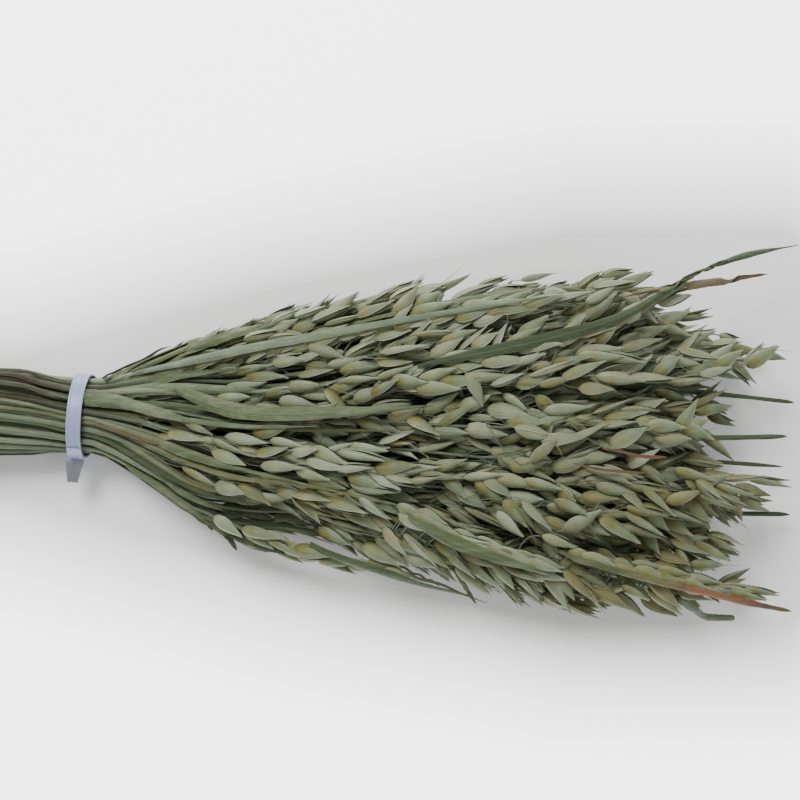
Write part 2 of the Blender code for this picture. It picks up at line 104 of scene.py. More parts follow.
# How far the heads reach, along Y
REACH = metres((
    (-1080, 3420), (-990, 3660), (-820, 3620), (-730, 3710), (-600, 3620), (-470, 3840), (-340, 3840),
    (-220, 3560), (0, 3590), (190, 3690), (340, 3930), (440, 3610), (590, 3520), (750, 3160), (850, 3060)))
REACH_READ_X = 0.360

# Widths, depths and points from here to CARRYING_STEMS are in tenths of a millimetre.
# Leaves that lie on the heads and stems: name, width, share of it at the base, height over the
# section, tone (0 dark green, 1 blue-grey), dryness at the base and tip, points (X, Y) from above
LYING_LEAVES = (
    ("pale_long", 58, 0.45, 1.14, 0.88, 0.02, 0.05,
     ((250, 235), (570, 285), (970, 365), (1360, 430), (1810, 510), (2380, 600), (2570, 630))),
    ("twisted_top", 92, 0.30, 1.16, 0.04, 0.0, 0.0,
     ((1880, 270), (2490, 390), (2930, 520), (3250, 700), (3610, 860), (3980, 940))),
    ("wide_middle", 100, 0.25, 1.14, 0.46, 0.03, 0.05, ((500, 180), (930, 30), (1520, 30), (1960, 60))),
    ("green_lower", 82, 0.30, 1.13, 0.36, 0.0, 0.0,
     ((1830, -530), (2050, -640), (2340, -750), (2560, -820))),
    ("orange_tip", 44, 0.40, 1.15, 0.30, 0.10, 1.0,
     ((2620, -710), (3120, -860), (3430, -940), (3670, -995), (3880, -1040))),
    ("dark_edge", 46, 0.60, 1.07, 0.10, 0.0, 0.1,
     ((1300, -710), (1660, -830), (1910, -910), (2120, -960), (2260, -1020))),
    ("brown_top", 62, 0.50, 1.10, 0.30, 0.50, 0.62, ((3260, 680), (3420, 715), (3580, 735), (3770, 765))),
    ("near_band", 95, 0.85, 1.16, 0.55, 0.04, 0.06, ((40, 95), (270, 75), (500, 20), (740, -50))),
    ("olive_lower", 58, 0.50, 1.10, 0.28, 0.10, 0.16,
     ((250, -270), (420, -370), (560, -455), (670, -530), (750, -600))),
    ("bent_corner", 52, 0.60, 1.08, 0.30, 0.05, 0.10,
     ((3260, -970), (3360, -1035), (3450, -1090), (3605, -1100))),
    ("hump_upper", 80, 0.40, 1.10, 0.30, 0.05, 0.08,
     ((600, 330), (740, 410), (920, 460), (1040, 480), (1160, 520))),
)
LYING_UPWARD = 0.8

# Leaves at the sides: as above, with points (X, degrees round the section)
SIDE_LEAVES = (
    ("side_a", 80, 0.40, 1.03, 0.55, 0.10, 0.20, ((160, -14), (550, -18), (1000, -20), (1500, -16))),
    ("side_b", 70, 0.40, 1.03, 0.35, 0.10, 0.20, ((160, 196), (600, 200), (1050, 196), (1650, 190))),
    ("back_c", 55, 0.40, 1.01, 0.40, 0.10, 0.25, ((1500, 32), (2000, 28), (2500, 26), (2960, 28))),
)

# Leaves that stand out past the heads: name, stalk, width, end X, drift across, tone
END_LEAVES = (
    ("end_a", 8, 42, 3930, -0.13, 0.16), ("end_b", 11, 34, 3860, 0.07, 0.08),
    ("end_c", 7, 24, 3950, -0.10, 0.22), ("end_d", 12, 42, 3990, 0.00, 0.08),
)
END_LEAF_ROOT = 0.030

# How deep, in metres, leaves are sunk at their base, a wide base less so, and at a tucked tip
BASE_SINK, WIDE_BASE_SINK, TIP_SINK = 0.0045, 0.0022, 0.0075

# Leaves that turn over: from where to where along them; one of them is twined round by a strip
TURNED_LEAVES = {"twisted_top": ((0.54, 0.64), (0.66, 0.76)), "brown_top": ((0.50, 0.72),)}
TWINED_LEAF, TWINED_PART = "twisted_top", (0.53, 0.765)
TWINE_TURNS, TWINE_RADIUS, TWINE_HALF_WIDTH = 3.4, 0.0013, 0.0012

# Where a leaf is drawn in or full: how far along it, share of its width
WAISTS = {
    "twisted_top": ((0, 0.8), (0.16, 0.92), (0.25, 0.88), (0.32, 0.58), (0.42, 0.62), (0.50, 0.64),
                    (0.56, 0.58), (0.60, 0.74), (0.65, 0.56), (0.71, 0.62), (0.76, 0.95), (0.83, 1.45),
                    (0.90, 1.30), (0.94, 0.90), (1, 1)),
    "brown_top": ((0, 1), (0.40, 1), (0.58, 0.85), (0.72, 0.62), (0.84, 0.42), (0.90, 0.52), (1, 0.30)),
    "orange_tip": ((0, 1), (0.70, 1), (0.86, 0.60), (1, 0.62)),
    "end_a": ((0, 1), (0.55, 1), (0.80, 0.58), (1, 0.58)),
    "end_d": ((0, 1), (0.50, 1), (0.70, 0.85), (1, 0.80)),
    "dark_edge": ((0, 1.5), (0.35, 1.5), (0.60, 0.8), (1, 0.8)),
}

# Leaves that don't dry evenly: how far along, dryness
DRYNESS = {
    "orange_tip": ((0, 0.06), (0.15, 0.14), (0.22, 0.30), (0.32, 0.36), (0.42, 0.84), (0.74, 0.86),
                   (0.86, 0.62), (1, 0.58)),
}

# How blunt a torn leaf ends, and the leaves whose tip is tucked under the heads
BLUNTNESS = 2.2
BLUNT_LEAVES = {"end_a": 50.0, "end_b": 50.0, "end_c": 30.0, "end_d": 50.0, "bent_corner": 120.0,
                "orange_tip": 30.0, "brown_top": 8.0}
TUCKED_LEAVES = ("wide_middle", "near_band", "back_c")

# Dead, red-brown strips of sheath: width, dryness and points (X, Y) from above; then how high
# over the section they lie
DEAD_STRIPS = (
    (20, 0.62, ((120, -50), (240, -85), (360, -120), (490, -150))),
    (24, 0.74, ((2830, -160), (2920, -175), (3040, -200), (3160, -205))),
    (28, 0.64, ((2680, -235), (2800, -262), (2920, -275), (3060, -285))),
    (16, 0.80, ((2970, 630), (3040, 645), (3100, 655), (3160, 665))),
    (60, 0.05, ((140, 205), (280, 275), (450, 345), (620, 405))),
    (50, 0.12, ((300, 250), (430, 300), (580, 365), (740, 430))),
)
STRIP_REST = 1.11

# The near edge: share of the half width where the heads end, at X in metres
CLEFT = (
    (0.058, 1.0), (0.080, 0.93), (0.100, 0.83), (0.121, 0.755), (0.1444, 0.79), (0.1723, 0.87),
    (0.198, 0.905), (0.2119, 0.895), (0.2236, 0.94), (0.240, 1.0),
)
CLEFT_START = 0.25

# A thin shoot that stands apart at the near edge: radius of each stem, its points (X, Y, Z) and
# where its spikelets sit along it; then its torn leaves as width, tone and points
STRAND_STEMS = (
    (12, ((600, -450, 340), (900, -600, 400), (1169, -700, 440), (1434, -780, 460), (1682, -815, 460),
          (1844, -865, 450), (2006, -920, 440), (2179, -985, 420)),
     (0.16, 0.22, 0.27, 0.32, 0.37, 0.42, 0.47, 0.52, 0.57)),
    (11, ((450, -400, 260), (750, -580, 290), (1000, -690, 330), (1200, -750, 370), (1500, -815, 400),
          (1720, -840, 420)), (0.30, 0.40, 0.50, 0.60, 0.70, 0.80, 0.92)),
    (10, ((550, -440, 400), (800, -560, 440), (1050, -660, 470), (1300, -745, 470)),
     (0.30, 0.50, 0.70, 0.88)),
    (8, ((1600, -740, 440), (1760, -805, 450), (1900, -870, 450), (2006, -920, 440)), ()),
)
STRAND_LEAVES = (
    (85, 0.35, ((500, -420, 310), (720, -560, 340), (940, -670, 370), (1160, -750, 400))),
    (45, 0.25, ((660, -530, 330), (790, -620, 340), (850, -680, 320), (885, -745, 300))),
    (38, 0.50, ((2080, -810, 500), (2130, -895, 490), (2205, -1020, 450))),
    (34, 0.40, ((580, -470, 280), (690, -560, 280), (745, -640, 260))),
)

# Spikelets at the very ends of the heads: foot and tip (X, Y), height and share by which they gape
END_SPIKELETS = (
    ((3294, 529), (3515, 567), 400, 0.14), ((3722, 352), (3928, 325), 360, 0.03),
    ((3696, -342), (3939, -375), 380, 0.10), ((3636, -463), (3829, -491), 340, 0.20),
    ((3531, -959), (3757, -887), 300, 0.24), ((3487, -711), (3702, -772), 360, 0.05),
    ((3510, -500), (3632, -622), 320, 0.12), ((2892, 661), (3168, 755), 440, 0.22),
    ((3460, 77), (3598, 22), 400, 0.10), ((3480, 10), (3630, -50), 360, 0.10),
    ((3520, 440), (3640, 410), 480, 0.16), ((3404, -66), (3625, -226), 430, 0.03),
    ((3636, -397), (3840, -430), 310, 0.02), ((3400, 440), (3455, 435), 360, 0.14),
)

# Spikelets under the leaves that lie highest: from where to where along the leaf, how many, how
# far under it, and by how much they stand to the side and swing
CARRYING_SPIKELETS = (
    ("pale_long", 0.14, 0.84, 22, 56, 6, 0.05), ("pale_long", 0.24, 0.94, 20, 90, 40, 0.18),
    ("twisted_top", 0.08, 0.57, 14, 50, 12, 0.10), ("green_lower", 0.16, 0.94, 11, 52, 12, 0.08),
    ("green_lower", 0.04, 0.98, 15, 88, 44, 0.20), ("orange_tip", 0.12, 0.74, 11, 56, 8, 0.06),
    ("orange_tip", 0.00, 0.80, 15, 88, 44, 0.20),
)

# Thin stems under leaves: from where to where along the leaf, and how far under it
CARRYING_STEMS = (
    ("pale_long", 0.02, 0.46, 20), ("pale_long", 0.00, 0.40, 44), ("near_band", 0.10, 0.96, 22),
    ("near_band", 0.05, 1.00, 46), ("wide_middle", 0.12, 0.75, 26),
)
CARRYING_STEM_RADIUS = 0.0012

# Side shoots and loose leaves between the stalks: how many places, how they are spread, how many
# are leaves, where the outer ones and the others end, and the heads they carry
SHOOT_PLACES, SHOOT_RIM, SHOOT_GAP, SHOOT_TURN = 128, 0.99, 0.165, 0.7
SHOOT_ROUNDS, SHOOT_PUSH = 40, 0.35
LOOSE_LEAF_SHARE = 0.26
OUTER_RHO, EARLY_LUCK, EARLY_TIP_X = 0.70, 0.50, (0.115, 0.235)
FAR_LUCK, FAR_STEP_BACK, NEAR_STEP_BACK = 0.78, (0.0, 0.030), (0.030, 0.120)
SHOOT_HEAD, SHOOT_HEAD_STEP = (0.085, 0.135), 0.0062

# Culms: how uneven they are cut, where their nodes may sit, how far from the band, how wide and
# thick a node is, how long and thick the sheath over it, how wide the hollow is at the cut, the
# depth and rate of the bends, how far before the tip the rachis ends, on which side the brown ones
# lie, and where split sheaths start beside the band
CUT_UNEVENNESS = (0.0008, 0.0060)
NODE_PLACES = ((-0.165, -0.09), (-0.03, 0.03), (0.07, 0.13))
NODE_CLEARANCE, NODE_WIDTH, NODE_SWELLING = 0.009, 0.0016, 0.20
SHEATH_LENGTH, SHEATH_GIRTH = 0.055, 1.06
HOLLOW_SHARE = 0.58
CULM_BENDS, CULM_BEND_RATE = (0.0016, 0.0008), (25.0, 55.0)
RACHIS_END = 0.020
BROWN_SIDE_Y, BROWN_TOP_Z = 0.003, 0.018
BAND_EDGE_X = 0.0068

# Spikelets in a head: their lengths, how they are spread and kept apart, how far they may stray
# from their stem, from the middle and in direction; then which are slim, how wide they gape, less
# so at the edge, and how many carry a bristle
SPIKELET_LENGTHS, SPIKELET_REACH = (0.82, 1.14), 0.115
SPIKELET_ROUNDS, SPIKELET_PUSH = 30, 0.22
SPACING_ALONG, SPACING_ACROSS, SPACING_UP = 0.60, 0.92, 0.82
SPIKELET_WANDER, SPIKELET_RIM, TIP_RIM = 0.16, 1.05, 1.125
FAR_SIDE_TIP_RIM = ((0.185, TIP_RIM), (0.20, 1.03), (0.225, 1.03), (0.24, TIP_RIM))
STRAY_SHARE, STRAY_ANGLE, CALM_ANGLE = 0.22, 0.12, 0.055
SLIM_SHARE, SLIM_GIRTH, FULL_GIRTH = 0.24, (0.56, 0.80), (0.84, 1.26)
CLOSED_SHARE, CLOSED_GAPE, OPEN_GAPE = 0.72, (0.01, 0.06), (0.07, 0.15)
WIDE_FROM, WIDE_GAPE = 0.90, (0.18, 0.34)
EDGE_U, EDGE_GAPE = 0.80, 0.08
BRISTLE_SHARE, BRISTLE_LENGTH = 0.15, (0.008, 0.016)

# Which heads have a flag leaf and a split sheath: how far out in the section they stand
FLAG_LEAF_SHARE, FLAG_LEAF_RHO, SHEATH_RHO = 0.65, 0.50, 0.74

# A glume's stations from foot to tip, its width, bulge and thickness there, and its section, whose
# last points are the inner face; then the floret's stations and girth
GLUME_STATIONS = np.array((0.0, 0.10, 0.26, 0.42, 0.62, 0.82, 1.0))
GLUME_WIDTH = np.array((0.20, 0.74, 1.00, 0.98, 0.76, 0.37, 0.05))
GLUME_BULGE = np.array((0.20, 0.76, 1.00, 0.98, 0.74, 0.34, 0.05))
GLUME_THICKNESS = 0.3 + 0.7 * (1.0 - GLUME_STATIONS)
GLUME_SIDES = np.array((1.0, 0.62, 0.0, -0.62, -1.0, -0.66, 0.0, 0.66))
GLUME_INSIDE = np.array((0, 0, 0, 0, 0, 1, 1, 1))
GLUME_CROWN = (1.0 - GLUME_SIDES ** 2) ** 0.7 * (1.0 - 0.14 * GLUME_INSIDE)
FLORET_STATIONS = np.array((0.05, 0.22, 0.42, 0.62, 0.80))
FLORET_GIRTH = np.array((0.35, 0.90, 1.00, 0.62, 0.08))

# Corners across a blade, the radius of a bristle, how far a branch runs on into its spikelet, and
# the X that no stem or bristle passes
BLADE_SIDES = 7
BRISTLE_RADIUS = 0.00026
FOOT_OVERLAP = 0.0008
TUBE_END_X = 0.398

# The band: a flat loop with its cut end standing out at -Y; its section is (across, out); and the
# radius of the outermost stems that it ties
BAND_TURN = math.radians(-4.6)
BAND_GAP = 0.0003
BAND_TAIL_LENGTH = 0.0150
BAND_TAIL_RISE = -0.0035
BAND_TAIL_Z = 0.0225
BAND_LAP_RISE = 0.011
BAND_SECTION = (
    (-1.00, 0.05), (-1.00, 0.80), (-0.92, 1.00), (-0.80, 0.98), (-0.70, 0.76), (-0.25, 0.74), (-0.18, 0.84),
    (0.18, 0.84), (0.25, 0.74), (0.70, 0.76), (0.80, 0.98), (0.92, 1.00), (1.00, 0.80), (1.00, 0.05),
)
STEM_RADIUS = 0.0018

# The studio: name, place, size and power of each light, what they look at, the world's light, the
# camera, the floor, and how far from the middle line the floor stays without a glow
LIGHTS = (("key", (-0.40, 1.05, 1.50), 0.9, 42.0), ("fill", (0.95, -0.60, 1.50), 1.2, 5.0))
LIGHTS_AIM = (0.16, 0.0, 0.03)
WORLD_LIGHT = 0.53
CAMERA_XY = (0.179, 0.0088)
CAMERA_LENS, CAMERA_SENSOR = 62.4, 36.0
FLOOR_Z, FLOOR_GLOW = -0.0005, 3.2
COVERED_FLOOR = (
    (0.0, 0.0), (0.10, 0.035), (0.32, 0.035), (0.50, 0.075), (0.72, 0.108), (0.88, 0.108), (1.0, 0.0))


def tint(name, description, *screen):
    """One colour that a user may change, given in 0 to 255 screen values."""
    return bpy.props.FloatVectorProperty(
        name=name, description=description, size=3, min=0.0, max=1.0, subtype="COLOR",
        default=tuple(((level / 255.0 + 0.055) / 1.055) ** 2.4 for level in screen))


def measure(name, description, default):
    """One length that a user may change."""
    return bpy.props.FloatProperty(
        name=name, description=description, min=0.0, default=default, precision=5,
        unit="LENGTH", subtype="DISTANCE")


class OatSheafSizes(bpy.types.PropertyGroup):
    """Sizes of the grown pieces, the band and the studio."""

    spikelet_length: measure("Spikelet length", "Base to tip of a grown spikelet", 0.0235)
    spikelet_width: measure("Spikelet width", "Across the two glumes at their widest", 0.0072)
    spikelet_depth: measure("Glume depth", "How far the back of one glume bulges", 0.0029)
    chaff_thickness: measure("Glume thickness", "Thickness of one glume", 0.00022)
    culm_radius: measure("Culm radius", "Radius of a stem at the band", 0.0019)
    neck_radius: measure("Neck radius", "Radius of a stem under its head", 0.0011)
    rachis_radius: measure("Rachis radius", "Radius of the stem inside the head", 0.00055)
    shoot_radius: measure("Side shoot radius", "Radius of a side shoot at the band", 0.0014)
    pedicel_radius: measure("Pedicel radius", "Radius of the hair-fine branches", 0.00022)
    blade_thickness: measure("Blade thickness", "Thickness of a dry leaf", 0.00030)
    band_width: measure("Band width", "Width of the plastic band", 0.0080)
    band_thickness: measure("Band thickness", "Thickness of the plastic band", 0.0010)
    camera_height: measure("Camera height", "Height of the camera over the floor", 0.80)
    floor_size: measure("Floor size", "Side of the pale floor", 6.0)


class OatSheafColours(bpy.types.PropertyGroup):
    """Colours of the grown pieces, the band and the studio."""

    chaff_foot: tint("Spikelet foot", "Yellow-green base of a glume", 106, 106, 54)
    chaff_body: tint("Spikelet body", "Grey-green middle of a glume", 108, 121, 88)
    chaff_tip: tint("Spikelet tip", "Papery, bluish end of a glume", 148, 155, 133)
    chaff_bloom: tint("Bloomed spikelet", "Blue-grey bloom on some glumes", 114, 125, 103)
    chaff_dry: tint("Dry spikelet", "Tan of a ripe glume", 118, 110, 70)
    kernel: tint("Kernel", "Cream of the floret inside", 152, 146, 100)
    straw: tint("Culm", "Grey-green of a culm", 88, 99, 78)
    straw_pale: tint("Pale culm", "Cream-green of a bleached culm", 131, 140, 114)
    straw_brown: tint("Brown culm", "Brown of an old sheath", 44, 37, 21)
    blade_dark: tint("Dark blade", "Dark green of a leaf", 46, 64, 34)
    blade_green: tint("Green blade", "Olive green of a leaf", 80, 93, 60)
    blade_pale: tint("Pale blade", "Blue-grey green of a leaf", 104, 121, 102)
    blade_dead: tint("Dead blade", "Grey-brown of a dead leaf", 92, 77, 58)
    blade_dry: tint("Red-brown blade", "Red-brown of a dead leaf", 132, 86, 56)
    pith: tint("Pith", "Cream of a cut end", 170, 158, 120)
    band: tint("Band", "Bluish white plastic", 147, 157, 190)
    # Painted shade: the band's free end is coloured greyer because it turns away from the light.
    band_tail_shade: tint("Band end", "Greyer, shaded end of the band", 112, 116, 124)
    floor: tint("Floor", "Pale floor", 250, 250, 250)


# Layout


def grow(x, start, over):
    """Rise from 0 at start to 1 over a stretch, and stay there."""
    return np.clip((x - start) / over, 0.0, 1.0)


def dice(number):
    """The random numbers of one part of the bundle."""
    return np.random.default_rng(SEED + number)


def ripple(t, rng, slow, fast):
    """A wave along t, at a rate between slow and fast."""
    return np.sin(t * rng.uniform(slow, fast) + rng.uniform(0, 6))


def unit(vectors):
    """Vectors of length one."""
    return vectors / np.maximum(np.linalg.norm(vectors, axis=-1, keepdims=True), 1e-12)


def curve_value(table, x):
    """Read a smooth curve through the table's points, without overshoot."""
    at, level = np.asarray(table, float).T
    slopes = np.diff(level) / np.diff(at)
    before, after = slopes[:-1], slopes[1:]
    same_way = before * after > 0.0
    total = np.where(same_way, before + after, 1.0)
    inner = np.where(same_way, 2.0 * before * after / total, 0.0)
    tangents = np.concatenate((slopes[:1], inner, slopes[-1:]))
    x = np.clip(np.asarray(x, float), at[0], at[-1])
    piece = np.clip(np.searchsorted(at, x, side="right") - 1, 0, len(at) - 2)
    span = at[piece + 1] - at[piece]
    t = (x - at[piece]) / span
    start = (1.0 + 2.0 * t) * (1.0 - t) ** 2 * level[piece]
    leave = t * (1.0 - t) ** 2 * span * tangents[piece]
    end = t * t * (3.0 - 2.0 * t) * level[piece + 1]
    arrive = t * t * (t - 1.0) * span * tangents[piece + 1]
    return start + leave + end + arrive


def above_ground(z):
    """Press what would be under the ground flat on it, with no fold."""
    low = np.minimum(z, GROUND_REACH)
    return np.where(z < GROUND_REACH, GROUND_SOFTNESS * np.log1p(np.exp(low / GROUND_SOFTNESS)), z)


def under_ceiling(z):
    """Press what would stand over the top of the bundle down under it, with no fold."""
    start = HIGHEST[2] - CEILING_SOFTNESS
    pressed = start + CEILING_SOFTNESS * 0.95 * np.tanh((z - start) / CEILING_SOFTNESS)
    return np.where(z > start, pressed, z)


def section_point(x, u, v):
    """Place (u, v) of the section's unit disc at x; the underside is flattened."""
    x, u, v = np.broadcast_arrays(np.asarray(x, float), np.asarray(u, float), np.asarray(v, float))
    radius = np.maximum(np.hypot(u, v), 1e-9)
    power = curve_value(UNDERSIDE_POWER, x)
    rounded = (np.abs(u) / radius) ** power + (np.abs(v) / radius) ** power
    stretch = np.where(v < 0.0, rounded ** (-1.0 / power), 1.0)
    y = curve_value(MIDDLE_Y, x) + u * stretch * curve_value(HALF_WIDTH, x)
    z = curve_value(HALF_HEIGHT, x) * (1.0 + v * stretch) + curve_value(LIFT, x)
    return np.stack((x, y, above_ground(z)), axis=-1)


def twist(x):
    """How far the bundle has turned about X at x."""
    x = np.asarray(x, float)
    behind = -TWIST_BEHIND * (1.0 - np.exp(np.minimum(x, 0.0) / TWIST_BEHIND_REACH))
    ahead = TWIST_AHEAD * (1.0 - np.exp(-np.maximum(x, 0.0) / TWIST_AHEAD_REACH))
    return np.where(x < 0.0, behind, ahead)


def stalk_point(x, u, v):
    """The section point of a stalk's own place (u, v), turned with the bundle."""
    turn = twist(x)
    cos, sin = np.cos(turn), np.sin(turn)
    side = u * cos - v * sin
    pull = (curve_value(CLEFT, x) - CLEFT_START) / (1.0 - CLEFT_START)
    side = np.where(side < -CLEFT_START, (side + CLEFT_START) * pull - CLEFT_START, side)
    return section_point(x, side, u * sin + v * cos)


def reach_of(u, v):
    """How far the heads reach at a stalk's place."""
    return float(curve_value(REACH, stalk_point(REACH_READ_X, u, v)[1]))


def share_across(points):
    """How far to the side points are, as a share of the half width there."""
    x = points[..., 0]
    return (points[..., 1] - curve_value(MIDDLE_Y, x)) / curve_value(HALF_WIDTH, x)


def outward(points):
    """The direction away from the bundle's long middle line."""
    x = points[..., 0]
    half_height = curve_value(HALF_HEIGHT, x)
    y = (points[..., 1] - curve_value(MIDDLE_Y, x)) / curve_value(HALF_WIDTH, x) ** 2
    z = (points[..., 2] - half_height - curve_value(LIFT, x)) / half_height ** 2
    return unit(np.stack((np.zeros_like(y), y, z + 1e-9), axis=-1))


def upturned(path, away=1.0):
    """The facing of a leaf that lies on the bundle: outward and up."""
    return unit(outward(path) * away + LYING_UPWARD * UP)


def drawn_in(u, v, limit):
    """Places (u, v) brought to within a limit of the middle."""
    pull = np.minimum(1.0, limit / np.maximum(np.hypot(u, v), 1e-9))
    return u * pull, v * pull


def smooth_route(points, shares):
    """Walk a smooth line through points, shares 0 to 1 along it."""
    last = len(points) - 1
    padded = np.concatenate((2 * points[:1] - points[1:2], points, 2 * points[-1:] - points[-2:-1]))
    position = np.minimum(np.asarray(shares) * last, last - 1e-6)
    piece = position.astype(int)
    t = (position - piece)[:, None]
    p0, p1, p2, p3 = (padded[piece + step] for step in range(4))
    bend = 2.0 * p0 - 5.0 * p1 + 4.0 * p2 - p3
    swing = 3.0 * p1 - p0 - 3.0 * p2 + p3
    return 0.5 * (2.0 * p1 + (p2 - p0) * t + bend * t * t + swing * t ** 3)


def surface_path(places, rest, shares):
    """A smooth line over the bundle through points (X, Y) seen from above."""
    u = np.clip(share_across(places), -rest, rest)
    points = section_point(places[:, 0], u, np.sqrt(rest ** 2 - u * u))
    points[:, 1] = places[:, 1]
    return smooth_route(points, shares)


def arch(root, swing, foot, t):
    """A line that leaves root, swings out and comes to foot."""
    return root * (1 - t) ** 2 + 2 * swing * t * (1 - t) + foot * t * t


def stalk_plan():
    """Give each stalk its place in the section, its kind and its tip."""
    plan = []
    for index, kind in enumerate(STALK_KINDS):
        rho = math.sqrt((index + 0.5) / len(STALK_KINDS))
        u = rho * math.cos(index * GOLDEN_ANGLE)
        v = rho * math.sin(index * GOLDEN_ANGLE)
        share = (LENGTH_START + index * LENGTH_STEP) % 1.0
        tip_x = {"S": SHORT_TIP_X + SHORT_SPREAD * share,
                 "M": reach_of(u, v) - MID_STEP_BACK - MID_SPREAD * share,
                 "L": reach_of(u, v) - LONG_SPREAD * share}[kind]
        count = int(HEAD_SPIKELETS[kind] * (1.0 if rho > 0.52 else 0.7))
        plan.append({"u": u, "v": v, "rho": rho, "tip_x": tip_x, "head_x": tip_x - HEAD_LENGTH[kind],
                     "count": count, "owner": index, "leaf": False})
    return plan


def shoot_plan(plan):
    """Side shoots and loose leaves that fill the bundle between the culms, each with its head."""
    index = np.arange(SHOOT_PLACES)
    radius = np.sqrt((index + 0.5) / SHOOT_PLACES) * SHOOT_RIM
    angle = index * GOLDEN_ANGLE + SHOOT_TURN
    spots = np.stack((radius * np.cos(angle), radius * np.sin(angle)), axis=-1)
    culms = np.array([(stalk["u"], stalk["v"]) for stalk in plan])
    for culm in culms:
        spots = np.delete(spots, np.argmin(np.linalg.norm(spots - culm, axis=1)), axis=0)
    for _ in range(SHOOT_ROUNDS):
        gap = spots[:, None, :] - np.concatenate((spots, culms))[None, :, :]
        distance = np.linalg.norm(gap, axis=-1) + 1e-9
        np.fill_diagonal(distance, 9.0)
        push = np.maximum(0.0, SHOOT_GAP - distance) * SHOOT_PUSH
        spots = spots + (gap / distance[..., None] * push[..., None]).sum(axis=1)
        spots = spots / np.maximum(1.0, np.linalg.norm(spots, axis=1) / SHOOT_RIM)[:, None]
    owner = np.argmin(np.linalg.norm(spots[:, None] - culms[None], axis=-1), axis=1)
    shoots = []
    for place, (u, v) in enumerate(spots):
        rng = dice(500 + place)
        rho = math.hypot(u, v)
        leaf = rng.uniform() < LOOSE_LEAF_SHARE
        luck = rng.uniform()
        if rho > 0.78 and abs(u) > 0.80:
            luck = 0.30 + 0.70 * luck
        if rho > OUTER_RHO and luck < EARLY_LUCK:
            tip_x = rng.uniform(*EARLY_TIP_X)
        else:
            tip_x = reach_of(u, v) - rng.uniform(*(FAR_STEP_BACK if luck < FAR_LUCK else NEAR_STEP_BACK))
        head = rng.uniform(*SHOOT_HEAD)
        shoots.append({"u": u, "v": v, "rho": rho, "tip_x": tip_x, "head_x": tip_x - head,
                       "count": int(head / SHOOT_HEAD_STEP), "owner": int(owner[place]), "leaf": leaf})
    return shoots


def spikelet_plan(heads, sizes):
    """Where every spikelet lies: its head, x, (u, v), length and the place of its stem."""
    columns = []
    for index, head in enumerate(heads):
        rng = dice(index)
        count = head["count"]
        share = (np.arange(count) + 0.3) / (count - 0.5)
        share = np.clip(share + rng.normal(0.0, 0.6 / count, count), 0.0, 1.0)
        share[-1] = 1.0
        length = sizes.spikelet_length * rng.uniform(*SPIKELET_LENGTHS, count)
        first_x = head["head_x"] + 0.5 * length
        x = first_x + (head["tip_x"] - 0.5 * length - first_x) * share
        angle = rng.uniform(0.0, math.tau, count)
        away = SPIKELET_REACH * (1.0 - 0.75 * share ** 2.5) * rng.uniform(0.40, 1.0, count)
        own_u, own_v = np.full(count, head["u"]), np.full(count, head["v"])
        u, v = own_u + away * np.cos(angle), own_v + away * np.sin(angle)
        columns.append(np.stack((np.full(count, index), x, u, v, length, own_u, own_v)))
    head, x, u, v, length, own_u, own_v = np.concatenate(columns, axis=1)
    width, height = curve_value(HALF_WIDTH, x), curve_value(HALF_HEIGHT, x)
    close = np.abs(x[:, None] - x[None, :]) / (SPACING_ALONG * sizes.spikelet_length)
    pair, other = np.nonzero(np.triu(close < 1.0, 1))
    close = close[pair, other]
    for _ in range(SPIKELET_ROUNDS):
        du = (u[pair] - u[other]) * width[pair] / (SPACING_ACROSS * sizes.spikelet_width)
        dv = (v[pair] - v[other]) * height[pair] / (SPACING_UP * sizes.spikelet_width)
        distance = np.sqrt(du ** 2 + dv ** 2 + close ** 2) + 1e-6
        push = np.maximum(0.0, 1.0 - distance) * SPIKELET_PUSH / distance
        for values, gap, extent in ((u, du, width), (v, dv, height)):
            step = gap * push * (sizes.spikelet_width / extent)[pair]
            values += np.bincount(pair, step, len(values)) - np.bincount(other, step, len(values))
        du, dv = drawn_in(u - own_u, v - own_v, SPIKELET_WANDER)
        u, v = drawn_in(own_u + du, own_v + dv, SPIKELET_RIM)
    u = u * (1.0 + 0.055 * grow(u, 0.35, 0.4) * np.interp(x, *zip(*FULLER_FAR_SIDE)))
    u = u * (1.0 + 0.060 * grow(-u, 0.5, 0.4) * np.interp(x, *zip(*FULLER_NEAR_SIDE)))
    return {"head": head.astype(int), "x": x, "u": u, "v": v, "length": length,
            "own_u": own_u, "own_v": own_v}


# Mesh making


